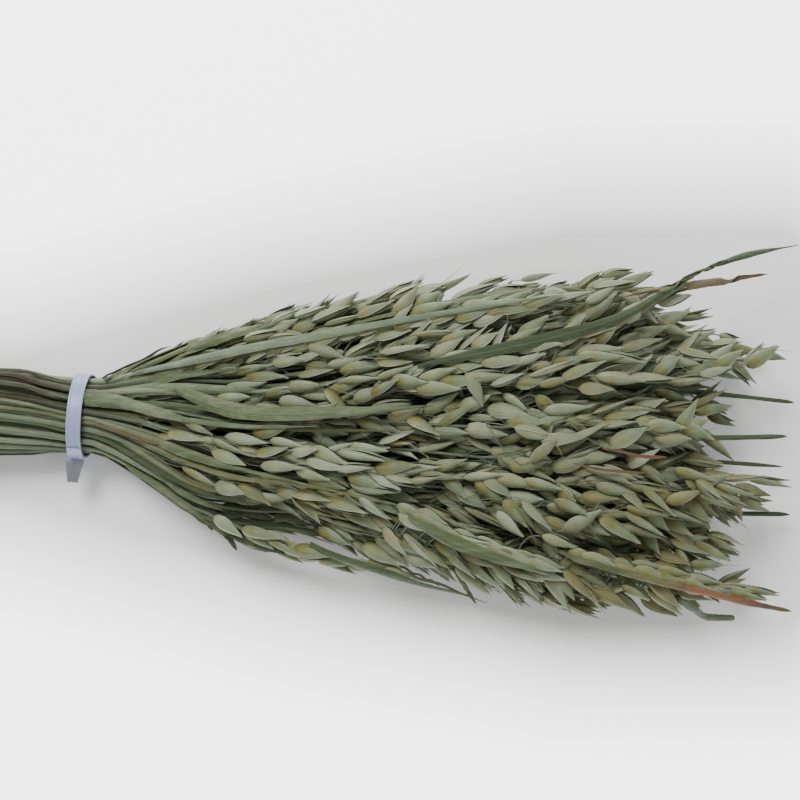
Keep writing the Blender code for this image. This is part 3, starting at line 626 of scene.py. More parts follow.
class Mould:
    """Gathers lofted forms, and what their finishes read, into one mesh."""

    MARKS = ("run", "side", "tone", "age")

    def __init__(self):
        self.points, self.faces, self.finishes = [], [], []
        self.marks = {name: [] for name in self.MARKS}
        self.count = 0

    def add(self, rings, finish, run=0.0, side=0.0, tone=0.5, age=0.0, loop=False, first=None):
        """Add closed sections: rings is (forms, stations, points, 3); loop joins the last to the first.

        The first stations may have a finish of their own: first is (number of stations, finish).
        """
        forms, stations, corners = rings.shape[:3]
        block = stations * corners
        self.points.append(rings.reshape(-1, 3))
        for name, values in zip(self.MARKS, (run, side, tone, age)):
            self.marks[name].append(np.broadcast_to(values, (forms, stations, corners)).reshape(-1))
        steps = stations if loop else stations - 1
        here = np.arange(steps)[:, None] * corners
        ahead = (np.arange(steps)[:, None] + 1) % stations * corners
        corner = np.arange(corners)[None, :]
        following = (corner + 1) % corners
        quads = np.stack((here + corner, here + following, ahead + following, ahead + corner), axis=-1)
        form = self.count + np.arange(forms)[:, None] * block
        self.faces.append((form[:, :, None] + quads.reshape(-1, 4)[None]).reshape(-1, 4))
        finishes = np.full((forms, steps, corners), finish)
        if first:
            finishes[:, :first[0]] = first[1]
        self.finishes.append(finishes.reshape(-1))
        if not loop:
            near, far = np.arange(corners)[::-1], np.arange(corners) + (stations - 1) * corners
            for cap, used in ((near, first[1] if first else finish), (far, finish)):
                self.faces.append(form + cap[None])
                self.finishes.append(np.full(forms, used))
        self.count += forms * block

    def piece(self, name, finishes, sharp=60.0):
        """Make the object."""
        points = np.concatenate(self.points)
        points[:, 2] = under_ceiling(points[:, 2])
        points = np.clip(points, LOWEST, HIGHEST)
        sizes = np.concatenate([np.full(len(faces), faces.shape[1]) for faces in self.faces])
        corners = np.concatenate([faces.reshape(-1) for faces in self.faces])
        starts = np.concatenate(([0], np.cumsum(sizes)[:-1]))
        mesh = bpy.data.meshes.new(name)
        mesh.vertices.add(len(points))
        mesh.vertices.foreach_set("co", points.astype(np.float32).reshape(-1))
        mesh.loops.add(len(corners))
        mesh.loops.foreach_set("vertex_index", corners.astype(np.int32))
        mesh.polygons.add(len(sizes))
        mesh.polygons.foreach_set("loop_start", starts.astype(np.int32))
        mesh.polygons.foreach_set("material_index", np.concatenate(self.finishes).astype(np.int32))
        for mark, values in self.marks.items():
            layer = mesh.attributes.new(mark, "FLOAT", "POINT")
            layer.data.foreach_set("value", np.concatenate(values).astype(np.float32))
        for finish in finishes:
            mesh.materials.append(finish)
        mesh.update(calc_edges=True)
        mesh.shade_smooth()
        mesh.set_sharp_from_angle(angle=math.radians(sharp))
        if mesh.validate():
            raise RuntimeError(f"{name} has broken faces")
        piece = bpy.data.objects.new(name, mesh)
        bpy.context.scene.collection.objects.link(piece)
        return piece


def finish_piece(piece, node):
    """Hang a piece under the root body and hide the CAD part that it stands for."""
    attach(piece, "root")
    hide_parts(node)


def place_section(path, tangent, normal, across, out):
    """Sections square to tangent, with their upper side towards normal."""
    sideways = unit(np.cross(normal, tangent))
    upright = np.cross(tangent, sideways)
    spread = sideways[..., None, :] * across[..., None] + upright[..., None, :] * out[..., None]
    return path[..., None, :] + spread


def sweep(path, normal, across, out):
    """Sections along path: across and out are the section's corners, (..., stations, points)."""
    rings = place_section(path, unit(np.gradient(path, axis=-2)), normal, across, out)
    rings[..., 2] = above_ground(rings[..., 2])
    return rings


def add_tube(mould, finish, path, radius, sides, normal=UP, flat=1.0, **marks):
    """Stems along path, (stems, stations, 3), with their radius there; flat presses them."""
    angle = np.linspace(0.0, math.tau, sides, endpoint=False)
    rings = sweep(path, normal, radius[..., None] * np.cos(angle), radius[..., None] * flat * np.sin(angle))
    rings[..., 0] = np.minimum(rings[..., 0], TUBE_END_X)
    mould.add(rings, finish, **{"side": np.cos(angle), **marks})


def add_blade(mould, finish, path, normal, half_width, arc, thickness, roll, tone, age):
    """A thin blade along path, bent across by arc radians to each side and turned by roll."""
    arc, roll, age = (np.broadcast_to(each, len(path))[:, None] for each in (arc, roll, age))
    tangent = unit(np.gradient(path, axis=0))
    sideways = unit(np.cross(normal, tangent))
    turned = np.cross(tangent, sideways) * np.cos(roll) + sideways * np.sin(roll)
    share = np.linspace(1.0, -1.0, BLADE_SIDES)
    sine, cosine = np.sin(share * arc), np.cos(share * arc)
    radius = half_width[:, None] / arc
    inner = radius - thickness
    across = np.hstack((radius * sine, (inner * sine)[:, ::-1]))
    out = np.hstack((radius * (cosine - 1.0), (inner * cosine - radius)[:, ::-1]))
    rings = sweep(path, turned, across, out)[None]
    run = np.linspace(0.0, 1.0, len(path))[:, None]
    mould.add(rings, finish, run=run, side=np.hstack((share, share[::-1])), tone=tone, age=age)


# Stalks


def spikelet_frames(spikelets, rng):
    """Foot, direction, facing and length of the spikelets, in the bundle's own frame."""
    x, u, v, length = (spikelets[key] for key in ("x", "u", "v", "length"))
    away_u, away_v = u - spikelets["own_u"], v - spikelets["own_v"]
    away = np.maximum(np.hypot(away_u, away_v), 1e-6)
    lean = rng.uniform(0.02, 0.085, len(x)) * np.minimum(1.0, away / 0.05)
    rho = np.maximum(np.hypot(u, v), 1e-6)
    splay = 0.010 + 0.030 * grow(rho, 0.85, 0.15)
    fan = 0.140 * (np.minimum(u, 0.60) - 0.33) * grow(x, 0.06, 0.10)
    fan = fan * (1.0 - 0.70 * grow(-u, 0.72, 0.23))
    stray = np.where(rng.uniform(size=len(x)) < STRAY_SHARE, STRAY_ANGLE, CALM_ANGLE)
    stray = stray * np.where(np.abs(u) < 0.70, 1.5, 1.0)
    lean_u = away_u / away * lean + u / rho * splay + fan + stray * rng.normal(size=len(x))
    lean_v = away_v / away * lean + v / rho * splay + rng.normal(0.0, 0.034, len(x))
    foot = stalk_point(x - length / 2, u - lean_u / 2, v - lean_v / 2)
    farthest = np.where(u > 0.5, np.interp(x, *zip(*FAR_SIDE_TIP_RIM)), TIP_RIM)
    tip = stalk_point(x + length / 2, *drawn_in(u + lean_u / 2, v + lean_v / 2, farthest))
    direction = unit(tip - foot)
    middle = (foot + tip) / 2
    away_normal = outward(middle)
    sideways = unit(np.cross(away_normal, direction))
    outside = rho > OUTER_RHO
    roll = np.where(outside, rng.normal(0.0, 0.75, len(x)), rng.uniform(-math.pi, math.pi, len(x)))
    facing = away_normal * np.cos(roll)[:, None] + sideways * np.sin(roll)[:, None]
    return middle - direction * length[:, None] / 2, direction, facing, length


def ripeness_and_shade(x, across):
    """How tan and dark the spikelets are: tanner far out on the heads, near the band and at the near edge,
    where the extra darkness is partly painted shade; paler in a row on the far side and at its far tip,
    darker in a row beyond that row.
    """
    ripe = grow(x, 0.22, 0.12)
    # Less on the far side, more at the near edge: real tan, and partly painted shade on the side away from
    # the key light.
    ripe = ripe * (1.0 - 0.55 * grow(across, 0.0, 0.3) + 0.55 * grow(-across, 0.3, 0.5))
    pale_row = np.exp(-((across - 0.18) / 0.15) ** 2) * np.interp(x, (0.09, 0.17), (0.10, 0.55))
    ripe = ripe - pale_row + 0.30 * np.exp(-((across - 0.48) / 0.12) ** 2)
    ripe = ripe + 0.55 * grow(-x, -0.135, 0.07)
    ripe = ripe - 0.75 * grow(x, 0.28, 0.03) * grow(across, 0.45, 0.25)
    # Darker and tanner at the near edge round X 0.275: partly painted shade on the side away from the key
    # light.
    return ripe + 0.60 * np.exp(-((x - 0.275) / 0.035) ** 2) * grow(-across, 0.45, 0.2)


def add_spikelets(mould, frames, widest_gape, ripe, sizes, rng, finishes, least_gape=0.0):
    """Two facing glumes round a floret, for each spikelet."""
    foot, direction, facing, length = frames
    count = len(length)
    slim = rng.uniform(size=count) < SLIM_SHARE
    girth = np.where(slim, rng.uniform(*SLIM_GIRTH, count), rng.uniform(*FULL_GIRTH, count))
    girth = (girth * np.interp(foot[:, 0], (0.03, 0.12), (0.84, 1.0)))[:, None]
    chance = rng.uniform(0.0, 1.0, count)
    closed = chance < CLOSED_SHARE
    gape = np.where(closed, rng.uniform(*CLOSED_GAPE, count), rng.uniform(*OPEN_GAPE, count))
    gape = np.where(chance > WIDE_FROM, rng.uniform(*WIDE_GAPE, count), gape)
    gape = np.clip(gape, least_gape, widest_gape)
    # Ripeness lowers the tone (darker, less papery) and raises the age (tanner); at the near edge part of it
    # is painted shade.
    tone = np.minimum(rng.uniform(0.0, 1.0, count) * (1.0 - 0.50 * np.clip(ripe, -0.7, 1.6)), 1.0)
    age = np.clip(rng.uniform(-0.65, 0.50, count) + 0.30 * np.clip(ripe, 0.0, 1.5), 0.0, 1.0) ** 1.5
    marks = {"tone": tone[:, None, None], "age": age[:, None, None]}
    bend = rng.normal(0.0, 0.065, (count, 3))[:, None]
    foot, direction, facing = foot[:, None], direction[:, None], facing[:, None]

    t = GLUME_STATIONS[:, None]
    half_width = GLUME_WIDTH * sizes.spikelet_width / 2 * girth
    bulge = GLUME_BULGE * sizes.spikelet_depth * girth
    opening = gape[:, None] * length[:, None] * GLUME_STATIONS ** 1.3
    inset = (sizes.chaff_thickness * GLUME_THICKNESS)[:, None] * GLUME_INSIDE
    across = half_width[..., None] * GLUME_SIDES
    out = bulge[..., None] * GLUME_CROWN + opening[..., None] - inset
    for turn in (1.0, -1.0):
        reach = (length * rng.uniform(0.90, 1.0, count))[:, None, None]
        path = foot + direction * reach * t + bend * reach * t * t
        rings = sweep(path, facing * turn, across, out)
        mould.add(rings, finishes["chaff"], run=t, side=GLUME_SIDES, **marks)

    t = FLORET_STATIONS[:, None]
    length = length[:, None, None]
    path = foot + direction * (length * t) + bend * (length * t ** 2)
    radius = FLORET_GIRTH * sizes.spikelet_width * 0.25 * girth
    add_tube(mould, finishes["kernel"], path, radius, 6, facing, 0.9, run=t, **marks)


def add_pedicels(mould, head, spikelets, frames, sizes, rng, finish):
    """Hair-fine branches from the rachis to the foot of each spikelet."""
    foot, direction, _, length = frames
    x = spikelets["x"] - length / 2
    back = rng.uniform(0.010, 0.024, len(x))
    root_x = np.clip(x - back, head["head_x"] - 0.012, head["tip_x"] - RACHIS_END)
    root = stalk_point(root_x, head["u"], head["v"])
    t = np.array((0.0, 0.35, 0.7, 1.0))[:, None]
    swing = foot - direction * 0.35 * np.linalg.norm(foot - root, axis=-1, keepdims=True)
    arched = (np.hypot(spikelets["u"], spikelets["v"]) > 0.80) & (rng.uniform(size=len(x)) < 0.45)
    swing = swing + outward(foot) * (rng.uniform(0.004, 0.009, len(x)) * arched)[:, None]
    path = arch(root[:, None], swing[:, None], foot[:, None], t)
    path[:, -1] += direction * FOOT_OVERLAP
    radius = sizes.pedicel_radius * np.array((1.2, 1.0, 0.9, 1.3))
    add_tube(mould, finish, path, radius, 4, (0.05, 0.3, 1.0), run=t,
             tone=rng.uniform(0.3, 1.0, len(x))[:, None, None], age=0.2)


def add_bristles(mould, frames, rng, finish):
    """Pale bristles that stand out past some of the spikelets."""
    chosen = rng.uniform(size=len(frames[3])) < BRISTLE_SHARE
    foot, direction, facing, length = (part[chosen] for part in frames)
    if not len(length):
        return
    t = np.array((0.0, 0.4, 0.75, 1.0))[:, None]
    reach = rng.uniform(*BRISTLE_LENGTH, len(length))[:, None, None]
    start = foot + direction * length[:, None] * 0.62
    sway = rng.normal(0.0, 0.30, (len(length), 3))
    path = start[:, None] + direction[:, None] * reach * t + sway[:, None] * reach * t * t
    radius = BRISTLE_RADIUS * np.array((1.0, 0.9, 0.6, 0.25))
    add_tube(mould, finish, path, radius, 3, facing[:, None], run=t, side=0.0, tone=0.95, age=0.1)


def old_age(head, rng):
    """Dryness of a stem: the ones high on the far side are the brownest."""
    place = stalk_point(-0.06, head["u"], head["v"])
    browner = 1.0 if place[1] > BROWN_SIDE_Y and place[2] > BROWN_TOP_Z else 0.0
    return float(np.clip(rng.uniform(-0.7, 0.40) + browner, 0.0, 1.0))


def add_culm(mould, head, radius_here, sizes, rng, finishes):
    """The hollow stem with its swollen nodes and sheaths, and the rachis inside the head."""
    knots = sorted(rng.uniform(*places) for places in NODE_PLACES)
    knots = [knot for knot in knots if knot < head["head_x"] - 0.01 and abs(knot) > NODE_CLEARANCE]
    end_x = head["tip_x"] - RACHIS_END
    cut = CUT_END_X + rng.uniform(*CUT_UNEVENNESS)
    swelling = np.array((-0.0030, -NODE_WIDTH, 0.0, NODE_WIDTH, 0.0030))
    stations = np.concatenate([np.linspace(cut + 0.004, end_x, 40)] + [knot + swelling for knot in knots])
    stations = np.concatenate(([cut + 0.0060, cut, cut], np.sort(stations)))
    body = np.interp(
        stations, (0.01, head["head_x"], head["head_x"] + 0.05, end_x),
        (1.0, sizes.neck_radius / sizes.culm_radius, sizes.rachis_radius / sizes.culm_radius, 0.15))
    radius = radius_here * rng.uniform(0.9, 1.04) * body
    for knot in knots:
        radius = radius * (1.0 + NODE_SWELLING * np.exp(-((stations - knot) / NODE_WIDTH) ** 2))
        sheathed = (stations > knot) & (stations < knot + SHEATH_LENGTH)
        radius = radius * np.where(sheathed, SHEATH_GIRTH, 1.0)
    radius[:2] = radius[2] * HOLLOW_SHARE
    free = grow(stations, 0.030, 0.060) * grow(-stations, -end_x, 0.030)
    sink = 1.0 - (0.13 if head["rho"] > 0.60 else 0.04) * free
    centre = stalk_point(stations, head["u"] * sink, head["v"] * sink)
    rates, starts = rng.uniform(*CULM_BEND_RATE, 2), rng.uniform(0.0, math.tau, 2)
    for axis, (depth, rate, start) in enumerate(zip(CULM_BENDS, rates, starts), 1):
        centre[:, axis] += depth * free * np.sin(stations * rate + start)
    tangent = unit(np.gradient(centre, axis=0))
    tangent[:3] = tangent[3]
    angle = np.linspace(0.0, math.tau, 9 if radius_here > sizes.shoot_radius else 7, endpoint=False)
    uneven = radius[:, None] * (1.0 + 0.05 * np.sin(3 * angle + rng.uniform(0, 6)))
    across = uneven * np.cos(angle)
    rings = place_section(centre, tangent, UP, across, uneven * np.sin(angle))
    rings[:3, :, 0] += across[:3] * rng.uniform(-0.5, 0.5) * 0.5
    rings[..., 0] = np.maximum(rings[..., 0], CUT_END_X)
    rings[..., 2] = above_ground(rings[..., 2])
    run = (stations - CUT_END_X) / 0.6
    fade = np.interp(stations, (-0.005, 0.030), (1.0, 0.30))
    mould.add(rings[None], finishes["straw"], run=run[:, None], side=np.cos(angle), tone=rng.uniform(),
              age=old_age(head, rng) * fade[:, None], first=(3, finishes["pith"]))


def add_sheath(mould, head, sizes, rng, finishes):
    """A split sheath round an outer stem, on one side of the band, standing off at its ragged end."""
    far_side = stalk_point(-0.03, head["u"], head["v"])[1] > 0.012
    behind = rng.uniform() < 0.55
    t = np.linspace(0.0, 1.0, 30)
    near = -BAND_EDGE_X if behind else BAND_EDGE_X
    far = -rng.uniform(0.060, 0.190) if behind else rng.uniform(0.040, 0.075)
    stations = near + (far - near) * t
    off = (0.17 if far_side else 0.07) * rng.uniform(0.7, 1.1)
    rise = 1.0 + off * np.minimum(t * 6.0, 1.0) + 0.02 * ripple(t, rng, 8, 16) * t
    path = stalk_point(stations, head["u"] * rise, head["v"] * rise)
    half_width = rng.uniform(0.0016, 0.0029) * np.interp(t, (0.0, 0.1, 0.75, 1.0), (0.6, 1.0, 0.8, 0.15))
    age = old_age(head, rng) * (1.0 if behind else 0.35)
    half_width = half_width * (1.0 + 0.10 * np.sin(t * rng.uniform(20, 40)))
    roll = rng.normal(0.0, 0.25) + rng.normal(0.0, 0.6) * t
    add_blade(mould, finishes["straw"], path, outward(path), half_width, 1.3 - 0.5 * t,
              sizes.blade_thickness, roll, rng.uniform(), age)


def add_loose_leaf(mould, shoot, sizes, rng, finishes):
    """A leaf that is rolled up in the band and opens beyond it."""
    outer = shoot["rho"] > 0.62
    start_x = CUT_END_X + rng.uniform(0.0005, 0.022)
    end_x = rng.uniform(0.10, 0.21) if outer else rng.uniform(0.06, 0.16)
    stations, t = np.linspace(start_x, end_x, 40), np.linspace(0.0, 1.0, 40)
    past = np.clip(stations / 0.10, 0.0, 1.5)
    drift = rng.normal(0.0, 0.035, 2)
    rise = 1.0 + (0.06 * past if outer else 0.0)
    u, v = ((shoot[key] + step * past ** 1.5) * rise for key, step in zip("uv", drift))
    path = stalk_point(stations, u, v)
    path[:, 1] += 0.0008 * ripple(stations, rng, 30, 60) * (np.abs(stations) > 0.012)
    wide = rng.uniform(0.0018, 0.0034)
    opened = grow(stations, 0.004, rng.uniform(0.04, 0.09))
    half_width = 0.0026 + (wide - 0.0026) * opened
    half_width = half_width * np.clip((1.0 - t) / 0.32, 0.04, 1.0) ** 0.8
    roll = rng.normal(0.0, 0.45) + rng.normal(0.0, 0.5) * opened
    age = old_age(shoot, rng) * 0.15 + 0.15 * rng.uniform() * t ** 2
    normal = upturned(path, 1.0 if shoot["rho"] > 0.30 else 0.0)
    add_blade(mould, finishes["blade"], path, normal, half_width, 2.0 - 1.55 * opened,
              sizes.blade_thickness * 1.2, roll, rng.uniform(0.0, 0.85), age)


def add_flag_leaf(mould, head, sizes, rng, finishes):
    """A leaf grown from an outer stem in or past the band, laid forward along it."""
    start_x = rng.uniform(-0.020, 0.020)
    end_x = start_x + rng.uniform(0.060, 0.105) + (0.045 if rng.uniform() < 0.25 else 0.0)
    t = np.linspace(0.0, 1.0, 36)
    stations = start_x + (end_x - start_x) * t
    past = np.clip((stations - 0.010) / 0.10, 0.0, 1.4)
    surface = max(head["rho"], 0.55) ** -np.minimum(past * 2.0, 1.0)
    rise = surface * (1.0 + rng.uniform(0.01, 0.06) * np.minimum(past * 3.0, 1.0))
    drift = rng.normal(0.0, 0.06, 2)
    path = stalk_point(stations, head["u"] * rise + drift[0] * past, head["v"] * rise + drift[1] * past)
    wide = rng.choice((0.0015, 0.0019, 0.0024, 0.0034))
    opened = grow(stations, 0.003, 0.030)
    half_width = 0.0016 + (wide - 0.0016) * opened
    half_width = half_width * np.interp(t, (0.0, 0.55, 0.82, 1.0), (1.0, 1.0, 0.62, 0.04))
    roll = rng.normal(0.0, 0.25) * opened + rng.normal(0.0, 0.55) * t ** 2
    age = max(0.0, rng.uniform(-1.5, 0.22)) + 0.15 * rng.uniform() * t ** 2
    add_blade(mould, finishes["blade"], path, upturned(path), half_width, 1.7 - 1.15 * opened,
              sizes.blade_thickness, roll, rng.uniform(0.10, 0.75), age)


def nearest_stalk(plan, point):
    """The stalk that passes nearest to a point."""
    gaps = [np.linalg.norm(stalk_point(point[0], stalk["u"], stalk["v"]) - point) for stalk in plan]
    return int(np.argmin(gaps))


def add_strand(moulds, plan, sizes, finishes):
    """A thin shoot that stands apart from the heads at the near edge, with its few spikelets."""
    rng = dice(800)
    mould = moulds[nearest_stalk(plan, metres(STRAND_STEMS[0][1][1]))]
    share = np.linspace(0.0, 1.0, 40)
    for thick, places, shares in STRAND_STEMS:
        places = metres(places)
        path = smooth_route(places, share)
        path[:, 1] += 0.0005 * np.sin(share * 31.0)
        radius = metres(thick) * np.interp(share, (0.0, 0.7, 1.0), (1.0, 0.85, 0.5))
        add_tube(mould, finishes["straw"], path[None], radius, 7, run=0.5, tone=0.3, age=0.25)
        if not shares:
            continue
        count = len(shares)
        foot = smooth_route(places, shares)
        tangent = unit(smooth_route(places, np.array(shares) + 0.02) - foot)
        sideways = np.cross(tangent, UP)
        swing = np.where(np.arange(count) % 2 == 0, 0.16, -0.12)[:, None]
        direction = unit(tangent + sideways * swing + UP * rng.normal(0.0, 0.06, (count, 1)))
        facing = unit(UP + sideways * rng.normal(0.0, 0.6, (count, 1)))
        length = sizes.spikelet_length * rng.uniform(0.80, 1.0, count)
        add_spikelets(mould, (foot, direction, facing, length), 0.06, 0.0, sizes, rng, finishes)
    for width, tone, places in STRAND_LEAVES:
        half_width = metres(width) / 2.0 * np.interp(share, (0.0, 0.4, 0.85, 1.0), (0.7, 1.0, 0.75, 0.25))
        half_width = half_width * (1.0 + 0.08 * np.sin(share * 37.0 + metres(width) * 4000.0))
        add_blade(mould, finishes["blade"], smooth_route(metres(places), share), UP, half_width, 0.9,
                  sizes.blade_thickness, 0.3 + 0.4 * share, tone, 0.08)


def add_branch(moulds, plan, foot, direction, sizes, finishes):
    """A branch from the nearest stalk to a foot; gives the mould of that stalk."""
    ends = [stalk_point(min(stalk["tip_x"] - 0.024, foot[0] - 0.014), stalk["u"], stalk["v"])
            for stalk in plan]
    nearest = int(np.argmin([np.linalg.norm(end - foot) for end in ends]))
    swing = foot - direction * 0.45 * np.linalg.norm(foot - ends[nearest])
    path = arch(ends[nearest], swing, foot + direction * FOOT_OVERLAP, np.linspace(0.0, 1.0, 8)[:, None])
    radius = sizes.pedicel_radius * np.linspace(2.2, 1.6, 8)
    add_tube(moulds[nearest], finishes["straw"], path[None], radius, 4, run=0.5, tone=0.5, age=0.2)
    return moulds[nearest]


def add_end_spikelets(moulds, plan, sizes, finishes):
    """The last spikelets of the longest heads, each on the tip of the stalk that is nearest."""
    for place, (foot, tip, height, gape) in enumerate(END_SPIKELETS):
        foot, tip = metres((*foot, height)), metres((*tip, height))
        direction = unit(tip - foot)
        mould = add_branch(moulds, plan, foot, direction, sizes, finishes)
        facing = unit(UP + np.cross(direction, UP) * (1.2 if gape > 0.09 else 0.3))
        frames = (foot[None], direction[None], facing[None], np.array([np.linalg.norm(tip - foot)]))
        add_spikelets(mould, frames, gape, 0.6, sizes, dice(600 + place), finishes, gape)


def add_carrying_spikelets(moulds, plan, sizes, finishes):
    """Spikelets right under the leaves that lie highest, so that they rest on the heads."""
    leaves = {leaf[0]: (metres(leaf[7]), leaf[3]) for leaf in LYING_LEAVES}
    for place, (name, start, end, count, depth, aside, swing) in enumerate(CARRYING_SPIKELETS):
        rng = dice(1000 + place)
        share = np.linspace(start, end, count) + rng.uniform(-0.3, 0.3, count) * (end - start) / count
        line = surface_path(*leaves[name], share)
        tangent = unit(surface_path(*leaves[name], share + 0.01) - line)
        away = outward(line)
        sideways = unit(np.cross(away, tangent))
        turn = np.where(np.arange(count) % 2 == 0, 1.0, -1.0)[:, None]
        middle = line - away * metres(depth) + sideways * turn * rng.uniform(0.0, metres(aside), (count, 1))
        direction = unit(tangent + sideways * turn * rng.uniform(0.0, swing, (count, 1)) + away * 0.04)
        facing = unit(away + sideways * rng.normal(0.0, 0.30, (count, 1)))
        length = sizes.spikelet_length * rng.uniform(0.80, 1.0, count)
        foot = middle - direction * length[:, None] / 2
        side, turned = np.clip(share_across(middle), -1.0, 1.0), twist(middle[:, 0])
        ripe = ripeness_and_shade(middle[:, 0], side * np.cos(turned) + np.sqrt(1.0 - side * side) * np.sin(turned))
        for each in range(count):
            mould = add_branch(moulds, plan, foot[each], direction[each], sizes, finishes)
            frames = [part[each:each + 1] for part in (foot, direction, facing, length)]
            add_spikelets(mould, frames, 0.05, ripe[each:each + 1], sizes, rng, finishes)


def add_carrying_stems(moulds, plan, finishes):
    """Thin stems under leaves that lie on the culms."""
    leaves = {leaf[0]: (metres(leaf[7]), leaf[3]) for leaf in LYING_LEAVES}
    for place, (name, start, end, depth) in enumerate(CARRYING_STEMS):
        share = np.linspace(start, end, 30)
        path = surface_path(*leaves[name], share)
        ends = grow(np.minimum(share - start, end - share), 0.0, 0.05)
        away = outward(path)
        path = path - away * (metres(depth) + 0.0015 * (1.0 - ends))[:, None]
        path[:, 1] += 0.0005 * np.sin(share * 9.0 + place * 2.0)
        add_tube(moulds[nearest_stalk(plan, path[15])], finishes["straw"], path[None],
                 CARRYING_STEM_RADIUS * (0.5 + 0.5 * ends), 7, away, run=share[:, None], tone=0.35, age=0.15)


def add_dead_strips(moulds, plan, sizes, finish):
    """Dead strips of sheath between the heads, each on the stalk that is nearest."""
    share = np.linspace(0.0, 1.0, 18)
    for place, (width, dryness, places) in enumerate(DEAD_STRIPS):
        rng = dice(700 + place)
        path = surface_path(metres(places), STRIP_REST, share)
        half_width = metres(width) / 2.0 * np.interp(share, (0.0, 0.4, 0.9, 1.0), (0.45, 0.80, 1.0, 0.30))
        roll = rng.normal(0.0, 0.3) + rng.normal(0.0, 0.5) * share
        age = dryness * np.interp(share, (0.0, 0.4, 1.0), (0.65, 0.95, 1.0))
        add_blade(moulds[nearest_stalk(plan, path[9])], finish, path, upturned(path), half_width, 0.9,
                  sizes.blade_thickness, roll, 0.3, age)


# Finishes


class Weave:
    """Short hands for wiring the node tree of one finish."""

    def __init__(self, name):
        self.material = bpy.data.materials.new("oats " + name)
        self.material.use_nodes = True
        self.tree = self.material.node_tree
        self.coordinates = self.node("TexCoord", "Object", {})

    def plug(self, socket, value):
        """Link a socket, or set a plain value."""
        if isinstance(value, bpy.types.NodeSocket):
            self.tree.links.new(value, socket)
        else:
            socket.default_value = (*value, 1.0) if socket.type == "RGBA" else value

    def node(self, kind, output, inputs, **settings):
        """A new node with its settings and inputs; gives one of its outputs."""
        node = self.tree.nodes.new("ShaderNode" + kind)
        for name, value in settings.items():
            setattr(node, name, value)
        for name, value in inputs.items():
            self.plug(node.inputs[name], value)
        return node.outputs[output]

    def marks(self, *names):
        """Values that the mesh carries."""
        return [self.node("Attribute", "Fac", {}, attribute_name=name) for name in names]

    def math(self, operation, *values, clamp=False):
        """A sum on one to three values."""
        return self.node("Math", "Value", dict(enumerate(values)), operation=operation, use_clamp=clamp)

    def times(self, value, factor):
        """A value times a factor."""
        return self.math("MULTIPLY", value, factor)

    def sized(self, value):
        """A value without its sign."""
        return self.math("ABSOLUTE", value)

    def total(self, *terms):
        """The weighted sum of terms, (value, weight) each."""
        result = 0.0
        for value, weight in terms:
            result = self.math("MULTIPLY_ADD", value, weight, result)
        return result

    def ribs(self, side, rate):
        """Even ribs from side to side, 0 to 1."""
        return self.math("MULTIPLY_ADD", self.math("SINE", self.times(side, rate)), 0.5, 0.5)

    def ramp(self, factor, *stops):
        """Colours or levels along a factor: stops are (place, colour or level)."""
        node = self.tree.nodes.new("ShaderNodeValToRGB")
        elements = node.color_ramp.elements
        while len(elements) < len(stops):
            elements.new(0.5)
        for element, (place, colour) in zip(elements, stops):
            element.position = place
            element.color = (*colour, 1.0) if hasattr(colour, "__len__") else (colour, colour, colour, 1.0)
        self.plug(node.inputs["Fac"], factor)
        return node.outputs["Color"]

    def mix(self, factor, first, second, blend="MIX"):
        """Blend two colours; 6, 7 and 2 are the node's sockets for colours."""
        return self.node("Mix", 2, {0: factor, 6: first, 7: second}, data_type="RGBA", blend_type=blend)

    def noise(self, scale, stretch=(1.0, 1.0, 1.0), detail=3.0):
        """Mottling at a scale, drawn out along the axes by stretch."""
        drawn = self.node("Mapping", "Vector", {"Scale": stretch, "Vector": self.coordinates})
        return self.node("TexNoise", "Fac", {"Scale": scale, "Detail": detail, "Vector": drawn})

    def paint(self, colour, level, relief=None, strength=0.0, distance=0.0003, **sockets):
        """Wire the shader: colour darkened by level, a relief and the other sockets by name."""
        shader = self.tree.nodes["Principled BSDF"]
        self.plug(shader.inputs["Base Color"], self.mix(1.0, colour, level, "MULTIPLY"))
        if relief is not None:
            bump = {"Strength": strength, "Distance": distance, "Height": relief}
            self.plug(shader.inputs["Normal"], self.node("Bump", "Normal", bump))
        for name, value in sockets.items():
            self.plug(shader.inputs[name.replace("_", " ")], value)
        return self.material


def chaff_finish(colours):
    """Glumes: yellow-green foot, nerved grey-green body, papery tip and margins."""
    weave = Weave("chaff")
    run, side, tone, age = weave.marks(*Mould.MARKS)
    colour = weave.ramp(run, (0.0, colours.chaff_foot), (0.30, colours.chaff_foot),
                        (0.50, colours.chaff_body), (0.78, colours.chaff_body), (1.0, colours.chaff_tip))
    kind = weave.math("FRACT", weave.times(tone, 7.0))
    colour = weave.mix(weave.ramp(kind, (0.55, 0.0), (0.95, 0.55)), colour, colours.chaff_bloom)
    for value, power, most in ((weave.sized(side), 5.0, 0.80), (tone, 2.2, 0.60)):
        papery = weave.times(weave.math("POWER", value, power), most)
        colour = weave.mix(papery, colour, colours.chaff_tip)
    colour = weave.mix(age, colour, colours.chaff_dry)
    nerves = weave.sized(weave.math("SINE", weave.times(side, 11.0)))
    fibre = weave.noise(900.0, (0.10, 1.0, 1.0))
    mottle = weave.noise(160.0)
    shade = weave.total((nerves, 0.20), (mottle, 0.46), (fibre, 0.20), (tone, 0.16))
    return weave.paint(
        colour, weave.ramp(shade, (0.20, 0.50), (0.85, 1.30)),
        weave.total((nerves, 1.0), (fibre, 0.8)), 0.50,
        Roughness=weave.ramp(mottle, (0.3, 0.62), (0.7, 0.48)), Specular_IOR_Level=0.35)


